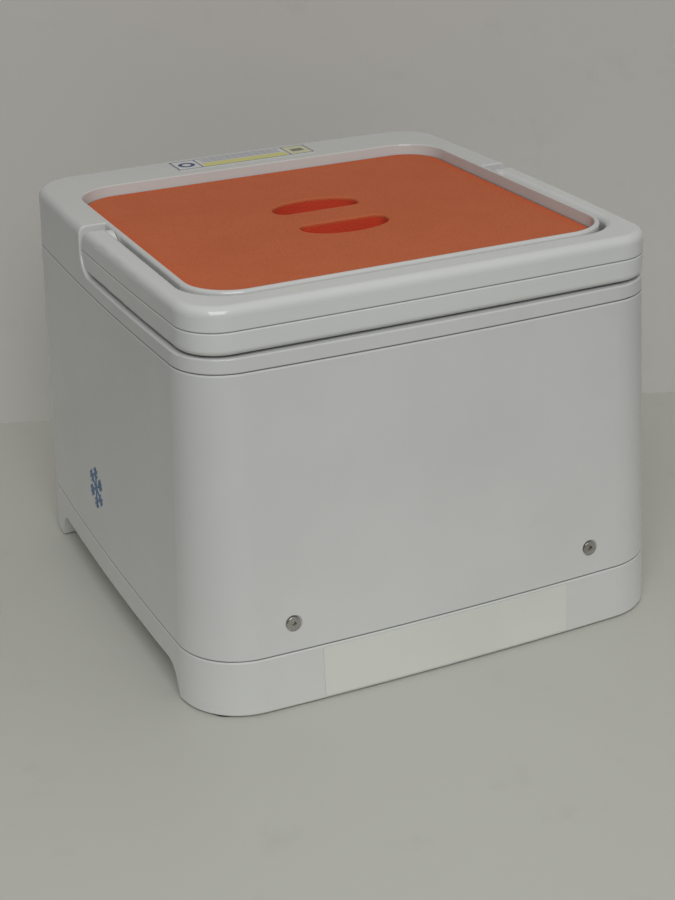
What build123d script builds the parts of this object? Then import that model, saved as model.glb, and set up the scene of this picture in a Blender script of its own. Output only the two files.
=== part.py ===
from build123d import *
import math
import os

# Insulated carrier for one box of frozen samples. Millimetres, +Z up, origin at the bottom centre of
# the footprint. -Y is the large plain side with two screws, +Y is the control side.

# Case
case_width = 300.0
case_depth = 312.0
wall_bow = 4.0
case_corner = 38.0
draft_angle = 2.5
case_wall = 3.0
seam_round = 0.6

# Storeys of the case
stand_off = 1.0
tray_height = 34.0
shell_height = 161.0
ledge_rise = 8.2
ledge_round = 1.8
cover_height = 35.0
tongue_height = 3.0
tongue_gap = 0.1
tongue_split = 1.7

# Feet and side reliefs of the tray
relief_height = 19.0
tray_floor = 3.0
front_foot_length = 37.5
back_foot_length = 48.0
relief_slant = 9.0
relief_round = 14.0
pad_radius = 9.0
pad_inset = 22.0
pad_recess = 1.0

# Handle, mouth and rim
handle_clearance = 1.0
handle_height = 25.6
handle_inset = 0.9
handle_bow = 3.6
bar_bow = 1.5
handle_corner = 24.0
inner_corner = 28.0
arm_width = 14.0
bar_width = 19.6
bar_inset = 1.5
handle_top_round = 5.0
handle_inner_round = 1.8
handle_crown = 4.0
handle_low_round = 3.5
handle_end_round = 1.6
handle_end_swell = 0.15
bumper_radius = 3.0
handle_skin = 2.6
handle_roof = 6.0
handle_floor = 3.5
handle_seam_round = 0.7
arm_gap = 1.8
bar_gap = 1.8
rim_wall = 3.0
rim_round = 1.8
mouth_edge_round = 0.8
mouth_corner = 26.0
mouth_taper = 1.0
mouth_step = 5.0
mouth_step_depth = 8.4
deck_depth = 40.6
deck_round = 5.0
pocket_gap = 2.0

# Handle pivot
pivot_y = 14.0
pin_radius = 4.0
pin_running_gap = 0.06
bush_wall = 1.5
bush_flange = 1.2
bush_flange_radius = 7.5
hub_radius = 12.4
hub_gap = 0.3
pin_seat = 5.5
pin_reach = 8.5

# Vessel, lid and insulation
lid_gap = 0.5
lid_drop = 5.9
lid_round = 2.2
lid_flange_lift = 0.1
seal_land = 22.3
vessel_wall = 1.5
vessel_corner = 14.0
vessel_depth = 130.0
flange_width = 14.0
flange_sink = 1.5
gasket_height = 1.2
gasket_inset = 2.5
gasket_width = 9.0
plug_gap = 3.0
plug_depth = 33.5
slot_length = 53.5
slot_width = 24.5
slot_depth = 18.0
slot_straight = 9.0
slot_corner = 6.5
slot_bridge = 25.0
slot_shift = 4.75
slot_side = 2.8
insulation_gap = 10.5
insulation_corner = 40.0
bay_depth = 36.5
fit_gap = 0.3

# Payload tray in the vessel
payload_lift = 26.0
payload_sheet = 2.0
payload_gap = 1.0
payload_leg = 6.0
payload_hole = 6.5
payload_pitch = 26.0

# Temperature probe and its lead
probe_radius = 2.5
probe_reach = 7.0
probe_x = -62.0
probe_drop = 15.0
gland_radius = 7.0
gland_flange = 2.0
gland_nut = 6.0
lead_radius = 1.5
lead_bend = 6.0
clip_width = 6.0
clip_wall = 1.8

# Control panel on the +Y wall, with depths measured from the wall's face
panel_width = 124.0
panel_height = 50.0
panel_corner = 7.0
panel_drop = 42.0
panel_proud = 0.6
panel_seat = 1.5
panel_back = 2.4
panel_border = 3.0
panel_gap = 0.3
window_width = 52.0
window_height = 28.0
window_sheet = 1.6
window_lip = 1.0
window_x = -30.0
module_border = 3.0
board_depth = 9.4
board_sheet = 1.6
board_border = 1.0
key_radius = 6.0
key_gap = 0.3
key_proud = 1.7
key_flange = 1.0
key_flange_depth = 0.8
key_travel = 0.6
key_pitch = 18.0
key_x = 14.0
key_y = 7.0
switch_size = 6.0
switch_height = 3.0
spacer_radius = 2.5
screw_small = 1.2
port_x = 32.0
port_y = -13.0
port_width = 9.0
port_height = 4.2
cover_width = 17.0
cover_height_port = 10.0
cover_sheet = 1.4
hinge_radius = 1.3
hinge_pin_radius = 0.6
ear_width = 2.0
light_x = 4.0
light_y = -13.0
light_radius = 1.8
buzzer_radius = 9.0
buzzer_height = 4.0
connector_size = 7.0
connector_x = 18.0
connector_y = 13.0

# Battery bay on the +Y wall
battery_rise = 43.0
cell_radius = 7.25
cell_length = 50.5
cell_gap = 0.3
cell_count = 3
contact_length = 4.0
contact_radius = 3.2
box_wall = 1.5
box_side_room = 3.0
door_border = 6.0
door_sheet = 2.0
door_gap = 0.4
door_corner = 5.0
grip_width = 20.0
grip_height = 5.0
grip_depth = 0.6
grip_border = 12.0
tab_width = 12.0
tab_sheet = 1.4
tab_length = 5.0

# Case screws through the long walls, and the screws under the cover
case_screw_x = 92.5
case_screw_rise = 17.0
screw_shank = 2.0
screw_head = 4.0
screw_head_height = 2.0
screw_sink = 0.9
screw_length = 11.0
socket_radius = 1.5
lug_width = 16.0
lug_depth = 8.0
boss_offset = 16.5
boss_radius = 5.0
shelf_radius = 6.3
shelf_sheet = 4.0
shelf_drop = 9.0

# Plates on the outside
plate_width = 153.0
plate_margin = 1.8
plate_sheet = 0.4
label_width = 94.0
label_depth = 23.0
label_edge = 8.0
label_sheet = 0.3
mark_radius = 13.0
mark_line = 1.5
mark_rise = 38.0
mark_y = 18.0
mark_sheet = 0.25

# Levels and places worked out from the sizes above
slope = math.tan(math.radians(draft_angle))
z_shell = tray_height
z_cover = tray_height + shell_height
z_ledge = z_cover + ledge_rise
z_top = z_cover + cover_height
z_handle = z_ledge + handle_clearance
z_handle_top = z_handle + handle_height
z_axis = z_handle + handle_height / 2
handle_end = handle_height / 2 + handle_end_swell
pocket_reach = handle_end + pocket_gap

arm_out = case_width / 2 - z_axis * slope - handle_inset
arm_in = arm_out - arm_width
rim_x = arm_in - arm_gap
bar_out = case_depth / 2 - z_axis * slope - bar_inset
bar_in = bar_out - bar_width
rim_front = bar_in - bar_gap
mouth_x = rim_x - rim_wall
mouth_front = -(rim_front - rim_wall)
mouth_back = case_depth / 2 - z_top * slope - deck_depth
mouth_y = (mouth_front + mouth_back) / 2
mouth_half_y = (mouth_back - mouth_front) / 2
step_x = mouth_x - mouth_taper
step_half_y = mouth_half_y - mouth_taper
step_corner = mouth_corner - mouth_taper
seat_x = step_x - mouth_step
seat_half_y = step_half_y - mouth_step
seat_corner = step_corner - mouth_step

z_lid_top = z_top - lid_drop
z_step = z_top - mouth_step_depth
z_flange = z_cover + tongue_height
z_insulation = z_flange - flange_sink
z_lid = z_flange + gasket_height + fit_gap
vessel_x = seat_x - seal_land
vessel_half_y = seat_half_y - seal_land
z_vessel = z_flange - vessel_depth
z_plug = z_lid - plug_depth
z_tray_floor = relief_height + tray_floor
insulation_x = case_width / 2 - z_cover * slope - case_wall - insulation_gap
insulation_front = -(case_depth / 2 - z_cover * slope - case_wall - insulation_gap)
insulation_back = case_depth / 2 - z_cover * slope - case_wall - bay_depth
z_payload = z_vessel + vessel_wall + payload_lift
z_probe = z_plug - probe_drop
deck_front = pivot_y + pocket_reach


def footprint(inset):
    """Plan of the case at the ground, with bowed sides and round corners."""
    half_x = case_width / 2 - inset
    half_y = case_depth / 2 - inset
    x = half_x - wall_bow
    y = half_y - wall_bow
    sides = [
        ThreePointArc((-x, -y), (0, -half_y), (x, -y)),
        ThreePointArc((x, -y), (half_x, 0), (x, y)),
        ThreePointArc((x, y), (0, half_y), (-x, y)),
        ThreePointArc((-x, y), (-half_x, 0), (-x, -y)),
    ]
    plan = make_face(sides)
    return fillet(plan.vertices(), case_corner - inset)


def drafted(inset, low, high):
    """Solid of the case's outline between two heights, leaning in with the draft."""
    whole = extrude(footprint(inset), amount=high, taper=draft_angle)
    return whole & block(-case_width, case_width, -case_depth, case_depth, low, high)


def case_band(low, high, low_round=seam_round, high_round=seam_round):
    """One storey of the case as a solid, its seam edges broken."""
    band = drafted(0, low, high)
    for level, size in ((low, low_round), (high, high_round)):
        rim = [edge for edge in band.edges() if abs(edge.center().Z - level) < 0.01]
        band = fillet(rim, size)
    return band


def block(x0, x1, y0, y1, z0, z1):
    """Box between two corners."""
    return Pos((x0 + x1) / 2, (y0 + y1) / 2, (z0 + z1) / 2) * Box(x1 - x0, y1 - y0, z1 - z0)


def ring_zone(inset_out, inset_in, low, high):
    """Ring of the case's outline between two insets and two heights."""
    return drafted(inset_out, low, high) - drafted(inset_in, low, high)


def round_block(half_x, half_y, y, corner, low, high):
    """Upright block with a rounded rectangle for a plan."""
    plan = Pos(0, y, low) * RectangleRounded(2 * half_x, 2 * half_y, corner)
    return extrude(plan, amount=high - low)


def rod(plane, radius, start, end):
    """Round bar along a plane's normal, between two distances from it."""
    return extrude(plane.offset(start) * Circle(radius), amount=end - start)


def bow_drop(x):
    """How far the long wall lies inside its middle at a distance from it."""
    return wall_bow * (x / (case_width / 2)) ** 2


def wall_plane(x, z, side):
    """Plane on the long wall, facing out. side is +1 at +Y and -1 at -Y."""
    lean = math.radians(draft_angle)
    y = side * (case_depth / 2 - z * slope - bow_drop(x))
    normal = (0, side * math.cos(lean), math.sin(lean))
    return Plane(origin=(x, y, z), x_dir=(-side, 0, 0), z_dir=normal)


def on_plane(plane, x, y):
    """The same plane, moved along its own axes."""
    return Plane(origin=plane.from_local_coords((x, y, 0)), x_dir=plane.x_dir, z_dir=plane.z_dir)


def plate(plane, width, height, corner, start, end):
    """Plate with round corners on a plane, between two distances from it."""
    return extrude(plane.offset(start) * RectangleRounded(width, height, corner), amount=end - start)


def slab(plane, width, height, start, end):
    """Plate with square corners on a plane, between two distances from it."""
    return extrude(plane.offset(start) * Rectangle(width, height), amount=end - start)


def both_sides(maker):
    """The pieces that a maker gives for the -X and +X sides."""
    return [maker(-1), maker(1)]


# Places of the fasteners and panels
panel = wall_plane(0, z_cover - panel_drop, 1)
bay = wall_plane(0, z_shell + battery_rise, 1)
z_case_screw = z_shell + case_screw_rise
case_screw_planes = [wall_plane(x, z_case_screw, side) for side in (-1, 1) for x in (-case_screw_x, case_screw_x)]
boss_x = case_width / 2 - z_cover * slope - case_wall - boss_offset
boss_y = case_depth / 2 - z_cover * slope - case_wall - boss_offset
boss_spots = [(x, y) for x in (-boss_x, boss_x) for y in (-boss_y, boss_y)]
z_shelf = z_cover - shelf_drop
bay_height = cell_count * 2 * cell_radius + (cell_count - 1) * cell_gap + 2 * box_side_room
bay_width = cell_length + 2 * contact_length
cell_depth = panel_seat + door_sheet + tab_length + cell_radius
cell_back = cell_depth + cell_radius
key_spots = [(key_x + i * key_pitch, key_y) for i in range(3)]


def make_base_tray():
    """Tray with feet, a floor over the side reliefs, screw lugs and a tongue for the shell."""
    tray = case_band(stand_off, z_shell, 1.2, seam_round)
    tray -= drafted(case_wall, z_tray_floor, z_shell)
    front = -case_depth / 2 + front_foot_length
    back = case_depth / 2 - back_foot_length
    tunnel = Polygon(
        (front, 0),
        (front + relief_slant, relief_height),
        (back - relief_slant, relief_height),
        (back, 0),
        align=None,
    )
    upper = tunnel.vertices().sort_by(Axis.Y)[-2:]
    tunnel = fillet(upper, relief_round)
    tray -= extrude(Plane.YZ * tunnel, amount=case_width / 2, both=True)
    hollow = drafted(case_wall, stand_off + tray_floor, z_tray_floor)
    foot_wall = case_wall + relief_slant
    tray -= hollow & block(-case_width, case_width, -case_depth, front - foot_wall, 0, z_tray_floor)
    tray -= hollow & block(-case_width, case_width, back + foot_wall, case_depth, 0, z_tray_floor)
    tray += ring_zone(tongue_split + tongue_gap, case_wall, z_shell, z_shell + tongue_height - tongue_gap)
    inner = drafted(case_wall + fit_gap, z_shell, z_case_screw + lug_width / 2)
    for plane in case_screw_planes:
        x = plane.origin.X
        low = min(plane.origin.Y, plane.origin.Y - math.copysign(case_wall + lug_depth, plane.origin.Y))
        high = low + case_wall + lug_depth
        foot = block(x - lug_width / 2, x + lug_width / 2, low, high, z_tray_floor - tray_floor, z_shell)
        post = block(x - lug_width / 2, x + lug_width / 2, low, high, z_shell, z_case_screw + lug_width / 2)
        tray += foot & drafted(1.0, z_tray_floor - tray_floor, z_shell)
        tray += post & inner
        tray -= rod(plane, screw_shank + 0.03, -screw_length - screw_sink - screw_head_height, 0)
    for x, y in pad_spots():
        tray -= Pos(x, y, stand_off) * Cylinder(pad_radius, 2 * pad_recess)
    return tray


def pad_spots():
    """Centres of the four foot pads."""
    half_x = case_width / 2 - pad_inset
    half_y = case_depth / 2 - pad_inset + 3
    return [(x, y) for x in (-half_x, half_x) for y in (-half_y, half_y)]


def make_rubber_feet():
    """Four round pads let into the tray's underside."""
    height = stand_off + pad_recess
    return [Pos(x, y, height / 2) * Cylinder(pad_radius, height) for x, y in pad_spots()]


def make_body_shell():
    """Tall wall of the case, with its windows, screw seats and corner shelves."""
    shell = case_band(z_shell, z_cover)
    shell -= drafted(case_wall, z_shell, z_cover)
    shell -= drafted(tongue_split, z_shell, z_shell + tongue_height)
    shell += ring_zone(tongue_split + tongue_gap, case_wall, z_cover, z_cover + tongue_height - tongue_gap)
    inner = drafted(case_wall / 2, z_shelf - shelf_sheet, z_shelf)
    for x, y in boss_spots:
        far_x = math.copysign(case_width / 2, x)
        far_y = math.copysign(case_depth / 2, y)
        shelf = Pos(x, y, z_shelf - shelf_sheet / 2) * Cylinder(shelf_radius, shelf_sheet)
        arm = block(min(x, far_x), max(x, far_x), min(y, far_y), max(y, far_y), z_shelf - shelf_sheet, z_shelf)
        shell += (shelf + arm) & inner
        shell -= Pos(x, y, z_shelf) * Cylinder(screw_shank + 0.2, 3 * shelf_sheet)
    for plane in case_screw_planes:
        shell -= rod(plane, screw_head + 0.9, -screw_sink, 5)
        shell -= rod(plane, screw_head + 0.15, -screw_sink - 0.6, 5)
        shell -= rod(plane, screw_shank + 0.2, -2 * case_wall, 5)
    shell -= plate(panel, panel_width + 2 * panel_gap, panel_height + 2 * panel_gap, panel_corner, -panel_seat, 5)
    opening_width = panel_width - 2 * panel_border
    opening_height = panel_height - 2 * panel_border
    shell -= plate(panel, opening_width, opening_height, panel_corner - panel_border, -4 * case_wall, 5)
    door_width = bay_width + 2 * door_border
    door_height = bay_height + 2 * door_border
    shell -= plate(bay, door_width + 2 * door_gap, door_height + 2 * door_gap, door_corner, -panel_seat, 5)
    shell -= slab(bay, bay_width, bay_height, -4 * case_wall, 5)
    return shell


def handle_outline(inset):
    """Outer outline of the handle as a filled face, drawn in by an inset."""
    half_x = arm_out - inset
    front = bar_out - inset
    x = half_x - handle_bow
    y = front - bar_bow
    back = case_depth / 2
    sides = [
        ThreePointArc((-x, -y), (0, -front), (x, -y)),
        ThreePointArc((x, -y), (half_x, 0), (x, back)),
        Line((x, back), (-x, back)),
        ThreePointArc((-x, back), (-half_x, 0), (-x, -y)),
    ]
    outer = make_face(sides)
    corners = outer.vertices().sort_by(Axis.Y)[:2]
    return fillet(corners, handle_corner - inset)


def handle_plan(inset):
    """Plan of the handle as a U, drawn in by an inset on all sides."""
    reach = case_depth
    inner = Pos(0, reach - bar_in - inset) * RectangleRounded(2 * (arm_in + inset), 2 * reach, inner_corner + inset)
    return handle_outline(inset) - inner


def handle_whole():
    """The whole bail, both halves in one, before its halves are parted."""
    bail = extrude(Pos(0, 0, z_handle) * handle_plan(0), amount=handle_height)

    def is_outer(edge):
        centre = edge.center()
        return abs(centre.X) > arm_in + arm_width / 2 or centre.Y < -(bar_in + bar_width / 2)

    for level, size in ((z_handle_top, handle_top_round), (z_handle, handle_low_round)):
        outer = [edge for edge in bail.edges() if abs(edge.center().Z - level) < 0.01 and is_outer(edge)]
        bail = fillet([edge for edge in outer if edge.center().Y < pivot_y + handle_height], size)
    for level, size in ((z_handle_top, handle_crown), (z_handle, handle_inner_round)):
        inner = [edge for edge in bail.edges() if abs(edge.center().Z - level) < 0.01]
        inner = [edge for edge in inner if not is_outer_inner(edge)]
        bail = fillet(inner, size)
    end = Plane(origin=(-arm_out, pivot_y, z_axis), x_dir=(0, 1, 0), z_dir=(1, 0, 0))
    end = rod(end, handle_end, 0, 2 * arm_out)
    end = fillet(end.edges().filter_by(GeomType.CIRCLE), handle_end_round)
    end &= block(-arm_out, arm_out, pivot_y, case_depth, z_handle, z_handle_top)
    return bail & (block(-arm_out, arm_out, -case_depth, pivot_y, z_handle, z_handle_top) + end)


def is_outer_inner(edge):
    """Whether an edge isn't one of the handle's inner top or bottom edges."""
    centre = edge.center()
    return abs(centre.X) > arm_in + 1 or centre.Y < -(bar_in + 1)


def make_handle():
    """Upper and lower halves of the bail, hollow, with hubs for the bushes and screw posts."""
    bail = handle_whole()
    for side in (-1, 1):
        hub_plane = Plane(origin=(side * (rim_x + hub_gap), pivot_y, z_axis), x_dir=(0, 1, 0), z_dir=(side, 0, 0))
        bail += rod(hub_plane, hub_radius, 0, arm_in - rim_x - hub_gap + handle_crown)
    above = block(-case_width, case_width, -case_depth, case_depth, z_axis, z_axis + case_width)
    below = block(-case_width, case_width, -case_depth, case_depth, z_axis - case_width, z_axis)
    keep_out = block(-case_width, case_width, pivot_y - hub_radius - 2, case_depth, 0, 2 * z_top)
    core = handle_plan(handle_skin)
    posts = []
    for x, y in handle_screw_spots():
        posts.append(Pos(x, y, z_axis) * Cylinder(arm_width / 2 - handle_skin + 0.2, handle_height))
    high_core = extrude(Pos(0, 0, z_axis) * core, amount=handle_height / 2 - handle_roof) - keep_out
    low_core = extrude(Pos(0, 0, z_handle + handle_floor) * core, amount=handle_height / 2 - handle_floor) - keep_out
    for post in posts:
        high_core -= post
        low_core -= post
    seam = z_axis - handle_seam_round
    groove = extrude(Pos(0, 0, seam) * handle_outline(-1), amount=handle_seam_round)
    groove -= extrude(Pos(0, 0, seam) * handle_outline(0), amount=handle_seam_round, taper=45)
    groove &= block(-case_width, case_width, -case_depth, pivot_y - hub_radius - 1, 0, 2 * z_top)
    upper = bail - below - high_core
    lower = bail - above - low_core - groove
    for x, y in handle_screw_spots():
        bore = Pos(x, y, z_axis) * Cylinder(screw_small, 2 * (handle_height / 2 - handle_roof))
        upper -= bore
        lower -= Pos(x, y, z_handle + handle_height / 4) * Cylinder(screw_small + 0.1, handle_height)
        lower -= Pos(x, y, z_handle) * Cylinder(2 * screw_small + 0.2, 2 * handle_floor)
    for side in (-1, 1):
        seat = pivot_plane(side)
        bush = rod(seat, pin_radius + pin_running_gap + bush_wall, 0, pin_reach + bush_flange)
        flange = rod(seat, bush_flange_radius, -2, bush_flange)
        upper -= bush + flange
        lower -= bush + flange
    return upper, lower


def pivot_plane(side):
    """Plane at the hub's inner face, facing outwards from the rim."""
    return Plane(origin=(side * (rim_x + hub_gap), pivot_y, z_axis), x_dir=(0, 1, 0), z_dir=(side, 0, 0))


def handle_screw_spots():
    """Places of the screws that join the handle's halves."""
    bar = (bar_in + bar_out) / 2
    arm = (arm_in + arm_out) / 2
    spots = [(x, -bar) for x in (-arm * 0.7, -arm * 0.25, arm * 0.25, arm * 0.7)]
    return spots + [(side * (arm - 0.6), y) for side in (-1, 1) for y in (-bar * 0.62, -bar * 0.2)]


def make_handle_screws():
    """Screws from below through the lower half into the upper half."""
    screws = []
    for x, y in handle_screw_spots():
        head = Pos(x, y, z_handle + handle_floor - 0.9) * Cylinder(2 * screw_small, 1.8)
        shank_height = z_axis + handle_height / 2 - handle_roof - 1 - z_handle - handle_floor
        shank = Pos(x, y, z_handle + handle_floor + shank_height / 2) * Cylinder(screw_small - 0.02, shank_height)
        socket = Pos(x, y, z_handle + handle_floor - 1.8) * Cylinder(screw_small * 0.8, 2)
        screws.append(head + shank - socket)
    return screws


def make_pivot_pins():
    """Two pins set in the rim that carry the handle."""

    def pin(side):
        seat = pivot_plane(side)
        bar = rod(seat, pin_radius, -hub_gap - pin_seat, pin_reach)
        return fillet(bar.edges().group_by(Axis.X)[-1 if side > 0 else 0], 0.5)

    return both_sides(pin)


def make_pivot_bushes():
    """Flanged bushes held between the handle's halves."""

    def bush(side):
        seat = pivot_plane(side)
        sleeve = rod(seat, pin_radius + pin_running_gap + bush_wall, 0, pin_reach + bush_flange)
        sleeve += rod(seat, bush_flange_radius, 0, bush_flange)
        return sleeve - rod(seat, pin_radius + pin_running_gap, -1, pin_reach + 2 * bush_flange)

    return both_sides(bush)


def bumper_spots():
    """Places of the handle's rests on the ledge."""
    bar = (bar_in + bar_out) / 2
    return [(0, -bar)] + [(side * (arm_in + bumper_radius), -bar * 0.6) for side in (-1, 1)]


def make_handle_bumpers():
    """Small rests on the ledge under the handle."""
    height = handle_clearance - fit_gap
    return [Pos(x, y, z_ledge + height / 2) * Cylinder(bumper_radius, height) for x, y in bumper_spots()]


def is_mouth_edge(edge):
    """Whether an edge of the cover runs round the mouth at its top."""
    box = edge.bounding_box()
    level = box.min.Z > z_top - 0.01
    across = max(abs(box.min.X), abs(box.max.X)) < mouth_x + 0.01
    return level and across and box.min.Y > mouth_front - 0.01 and box.max.Y < mouth_back + 0.01


def make_top_cover():
    """Cover with the handle's ledge, the deck and the raised rim round the mouth."""
    deck = case_band(z_cover, z_top, seam_round, deck_round)
    channel = Pos(-case_depth + pivot_y, z_ledge + case_depth / 2) * Rectangle(2 * case_depth, case_depth)
    channel += Pos(pivot_y, z_axis) * Ellipse(pocket_reach, z_axis - z_ledge)
    channel += Pos(pivot_y, z_axis + case_depth / 2) * Rectangle(2 * pocket_reach, case_depth)
    deck -= extrude(Plane.YZ * channel, amount=case_width, both=True)
    pocket = [edge for edge in deck.edges() if abs(edge.center().Y - deck_front) < 0.3 and edge.center().Z > z_axis]
    deck = fillet([edge for edge in pocket if abs(edge.center().Z - z_top) < 0.01], 1.0)
    cover = case_band(z_cover, z_ledge, seam_round, ledge_round) + deck
    rim_y = mouth_half_y + rim_wall
    rim = round_block(rim_x, rim_y, mouth_y, mouth_corner + rim_wall, z_cover, z_top)
    rim = fillet([edge for edge in rim.edges() if abs(edge.center().Z - z_top) < 0.01], rim_round)
    hollow = drafted(case_wall, z_cover, z_ledge - case_wall)
    hollow += drafted(case_wall, z_cover, z_top - case_wall) & block(
        -case_width, case_width, deck_front + case_wall, case_depth, z_cover, z_top
    )
    hollow -= round_block(rim_x, rim_y, mouth_y, mouth_corner + rim_wall, z_cover - 1, z_top)
    hollow += drafted(tongue_split, z_cover, z_cover + tongue_height) - drafted(
        case_wall, z_cover, z_cover + tongue_height
    )
    for x, y in boss_spots:
        top = z_top - case_wall if y > 0 else z_ledge - case_wall
        height = top - z_shelf - fit_gap
        boss = Pos(x, y, z_shelf + fit_gap + height / 2) * Cylinder(boss_radius, height)
        hollow -= boss
        cover += boss
    cover -= hollow
    cover += rim
    cover -= block(-rim_x, rim_x, mouth_front - rim_wall, mouth_back + rim_wall, z_cover - 1, z_insulation)
    cover -= round_block(seat_x, seat_half_y, mouth_y, seat_corner, z_cover - 5, z_top)
    low = Pos(0, mouth_y, z_step) * RectangleRounded(2 * step_x, 2 * step_half_y, step_corner)
    high = Pos(0, mouth_y, z_top) * RectangleRounded(2 * mouth_x, 2 * mouth_half_y, mouth_corner)
    cover -= loft([low.face(), high.face()], ruled=True)
    cover = fillet([edge for edge in cover.edges() if is_mouth_edge(edge)], mouth_edge_round)
    for x, y in boss_spots:
        depth = ledge_rise + shelf_drop - case_wall - 1
        cover -= Pos(x, y, z_shelf + depth / 2) * Cylinder(screw_shank + 0.03, depth)
    for side in (-1, 1):
        cover -= rod(pivot_plane(side), pin_radius, -hub_gap - pin_seat, 0)
    return cover


def make_cover_screws():
    """Screws from under the corner shelves into the cover."""
    screws = []
    for x, y in boss_spots:
        under = z_shelf - shelf_sheet
        head = Pos(x, y, under - screw_head_height / 2) * Cylinder(screw_head, screw_head_height)
        length = shelf_sheet + ledge_rise + shelf_drop - case_wall - 3
        shank = Pos(x, y, under + length / 2) * Cylinder(screw_shank, length)
        screws.append(head + shank)
    return screws


def make_case_screws():
    """Socket screws through the long walls into the tray's lugs."""
    screws = []
    for plane in case_screw_planes:
        seat = -screw_sink - 0.6
        head = rod(plane, screw_head, seat, seat + screw_head_height)
        head = fillet(head.edges().group_by(Axis.Y)[0 if plane.origin.Y < 0 else -1], 0.4)
        shank = rod(plane, screw_shank, seat - screw_length, seat)
        socket = extrude(plane.offset(seat + 0.7) * RegularPolygon(socket_radius, 6), amount=3)
        screws.append(head + shank - socket)
    return screws


def slot_plan():
    """Plan of a finger slot: a flat side on the X axis, and an arched side towards +Y."""
    flat = Pos(0, slot_straight / 2) * Rectangle(slot_length, slot_straight)
    flat = fillet(flat.vertices().sort_by(Axis.Y)[:2], slot_corner)
    arch = Pos(0, slot_straight) * Ellipse(slot_length / 2, slot_width - slot_straight)
    arch &= Pos(0, slot_straight + slot_width / 2) * Rectangle(slot_length, slot_width)
    return flat + arch


def lid_slots(z, depth, height):
    """Two finger slots as solids, flat side to flat side across the bridge."""
    slot = extrude(Pos(0, slot_bridge / 2) * slot_plan(), amount=depth + height)
    return [Pos(slot_side, mouth_y + slot_shift, z - depth) * Rot(0, 0, turn) * slot for turn in (0, 180)]


def make_foam_lid():
    """Foam lid that sinks into the mouth, with a flange over the mouth's step and two finger slots."""
    lid = round_block(seat_x - lid_gap, seat_half_y - lid_gap, mouth_y, seat_corner - lid_gap, z_lid, z_lid_top)
    half_x = step_x - lid_gap
    half_y = step_half_y - lid_gap
    lid += round_block(half_x, half_y, mouth_y, step_corner - lid_gap, z_step + lid_flange_lift, z_lid_top)
    lid = fillet([edge for edge in lid.edges() if abs(edge.center().Z - z_lid_top) < 0.01], lid_round)
    for slot in lid_slots(z_lid_top, slot_depth, 5):
        lid -= slot
    floor = z_lid_top - slot_depth
    lid = fillet([edge for edge in lid.edges() if abs(edge.center().Z - floor) < 0.01], 3.0)
    return lid


def make_lid_plug():
    """Insulating plug under the foam lid."""
    half_x = vessel_x - plug_gap
    half_y = vessel_half_y - plug_gap
    plug = round_block(half_x, half_y, mouth_y, vessel_corner - plug_gap, z_plug, z_lid)
    return chamfer([edge for edge in plug.edges() if abs(edge.center().Z - z_plug) < 0.01], 2.0)


def make_mouth_gasket():
    """Seal between the vessel's flange and the lid."""
    grow = gasket_inset + gasket_width
    top = z_flange + gasket_height
    seal = round_block(vessel_x + grow, vessel_half_y + grow, mouth_y, vessel_corner + grow, z_flange, top)
    half_x = vessel_x + gasket_inset
    half_y = vessel_half_y + gasket_inset
    return seal - round_block(half_x, half_y, mouth_y, vessel_corner + gasket_inset, z_flange, top)


def make_vessel_liner():
    """Thin-walled vessel with a flange at its mouth."""
    out_x = vessel_x + vessel_wall
    out_y = vessel_half_y + vessel_wall
    liner = round_block(out_x, out_y, mouth_y, vessel_corner + vessel_wall, z_vessel, z_flange)
    liner += round_block(
        vessel_x + flange_width,
        vessel_half_y + flange_width,
        mouth_y,
        vessel_corner + flange_width,
        z_insulation,
        z_flange,
    )
    liner -= round_block(vessel_x, vessel_half_y, mouth_y, vessel_corner, z_vessel + vessel_wall, z_flange)
    floor = z_vessel + vessel_wall
    liner = fillet([edge for edge in liner.edges() if abs(edge.center().Z - floor) < 0.01], 4.0)
    return liner - rod(probe_plane(), probe_radius, mouth_y - insulation_back, 0)


def probe_plane():
    """Plane at the insulation's back face, facing +Y, where the probe comes out."""
    return Plane(origin=(probe_x, insulation_back, z_probe), x_dir=(-1, 0, 0), z_dir=(0, 1, 0))


def insulation_plan():
    """Plan of the insulation, with large corners at the front."""
    width = 2 * insulation_x
    depth = insulation_back - insulation_front
    plan = Pos(0, (insulation_back + insulation_front) / 2) * Rectangle(width, depth)
    return fillet(plan.vertices(), insulation_corner)


def make_insulation_walls():
    """Foam block round the vessel."""
    walls = extrude(Pos(0, 0, z_vessel) * insulation_plan(), amount=z_insulation - z_vessel)
    out = vessel_wall + fit_gap
    walls -= round_block(
        vessel_x + out, vessel_half_y + out, mouth_y, vessel_corner + out, z_vessel, z_insulation
    )
    return walls - rod(probe_plane(), lead_radius * 2, -insulation_back, 0)


def make_insulation_floor():
    """Foam slab under the vessel, on the tray's floor."""
    return extrude(Pos(0, 0, z_tray_floor) * insulation_plan(), amount=z_vessel - z_tray_floor)


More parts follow.
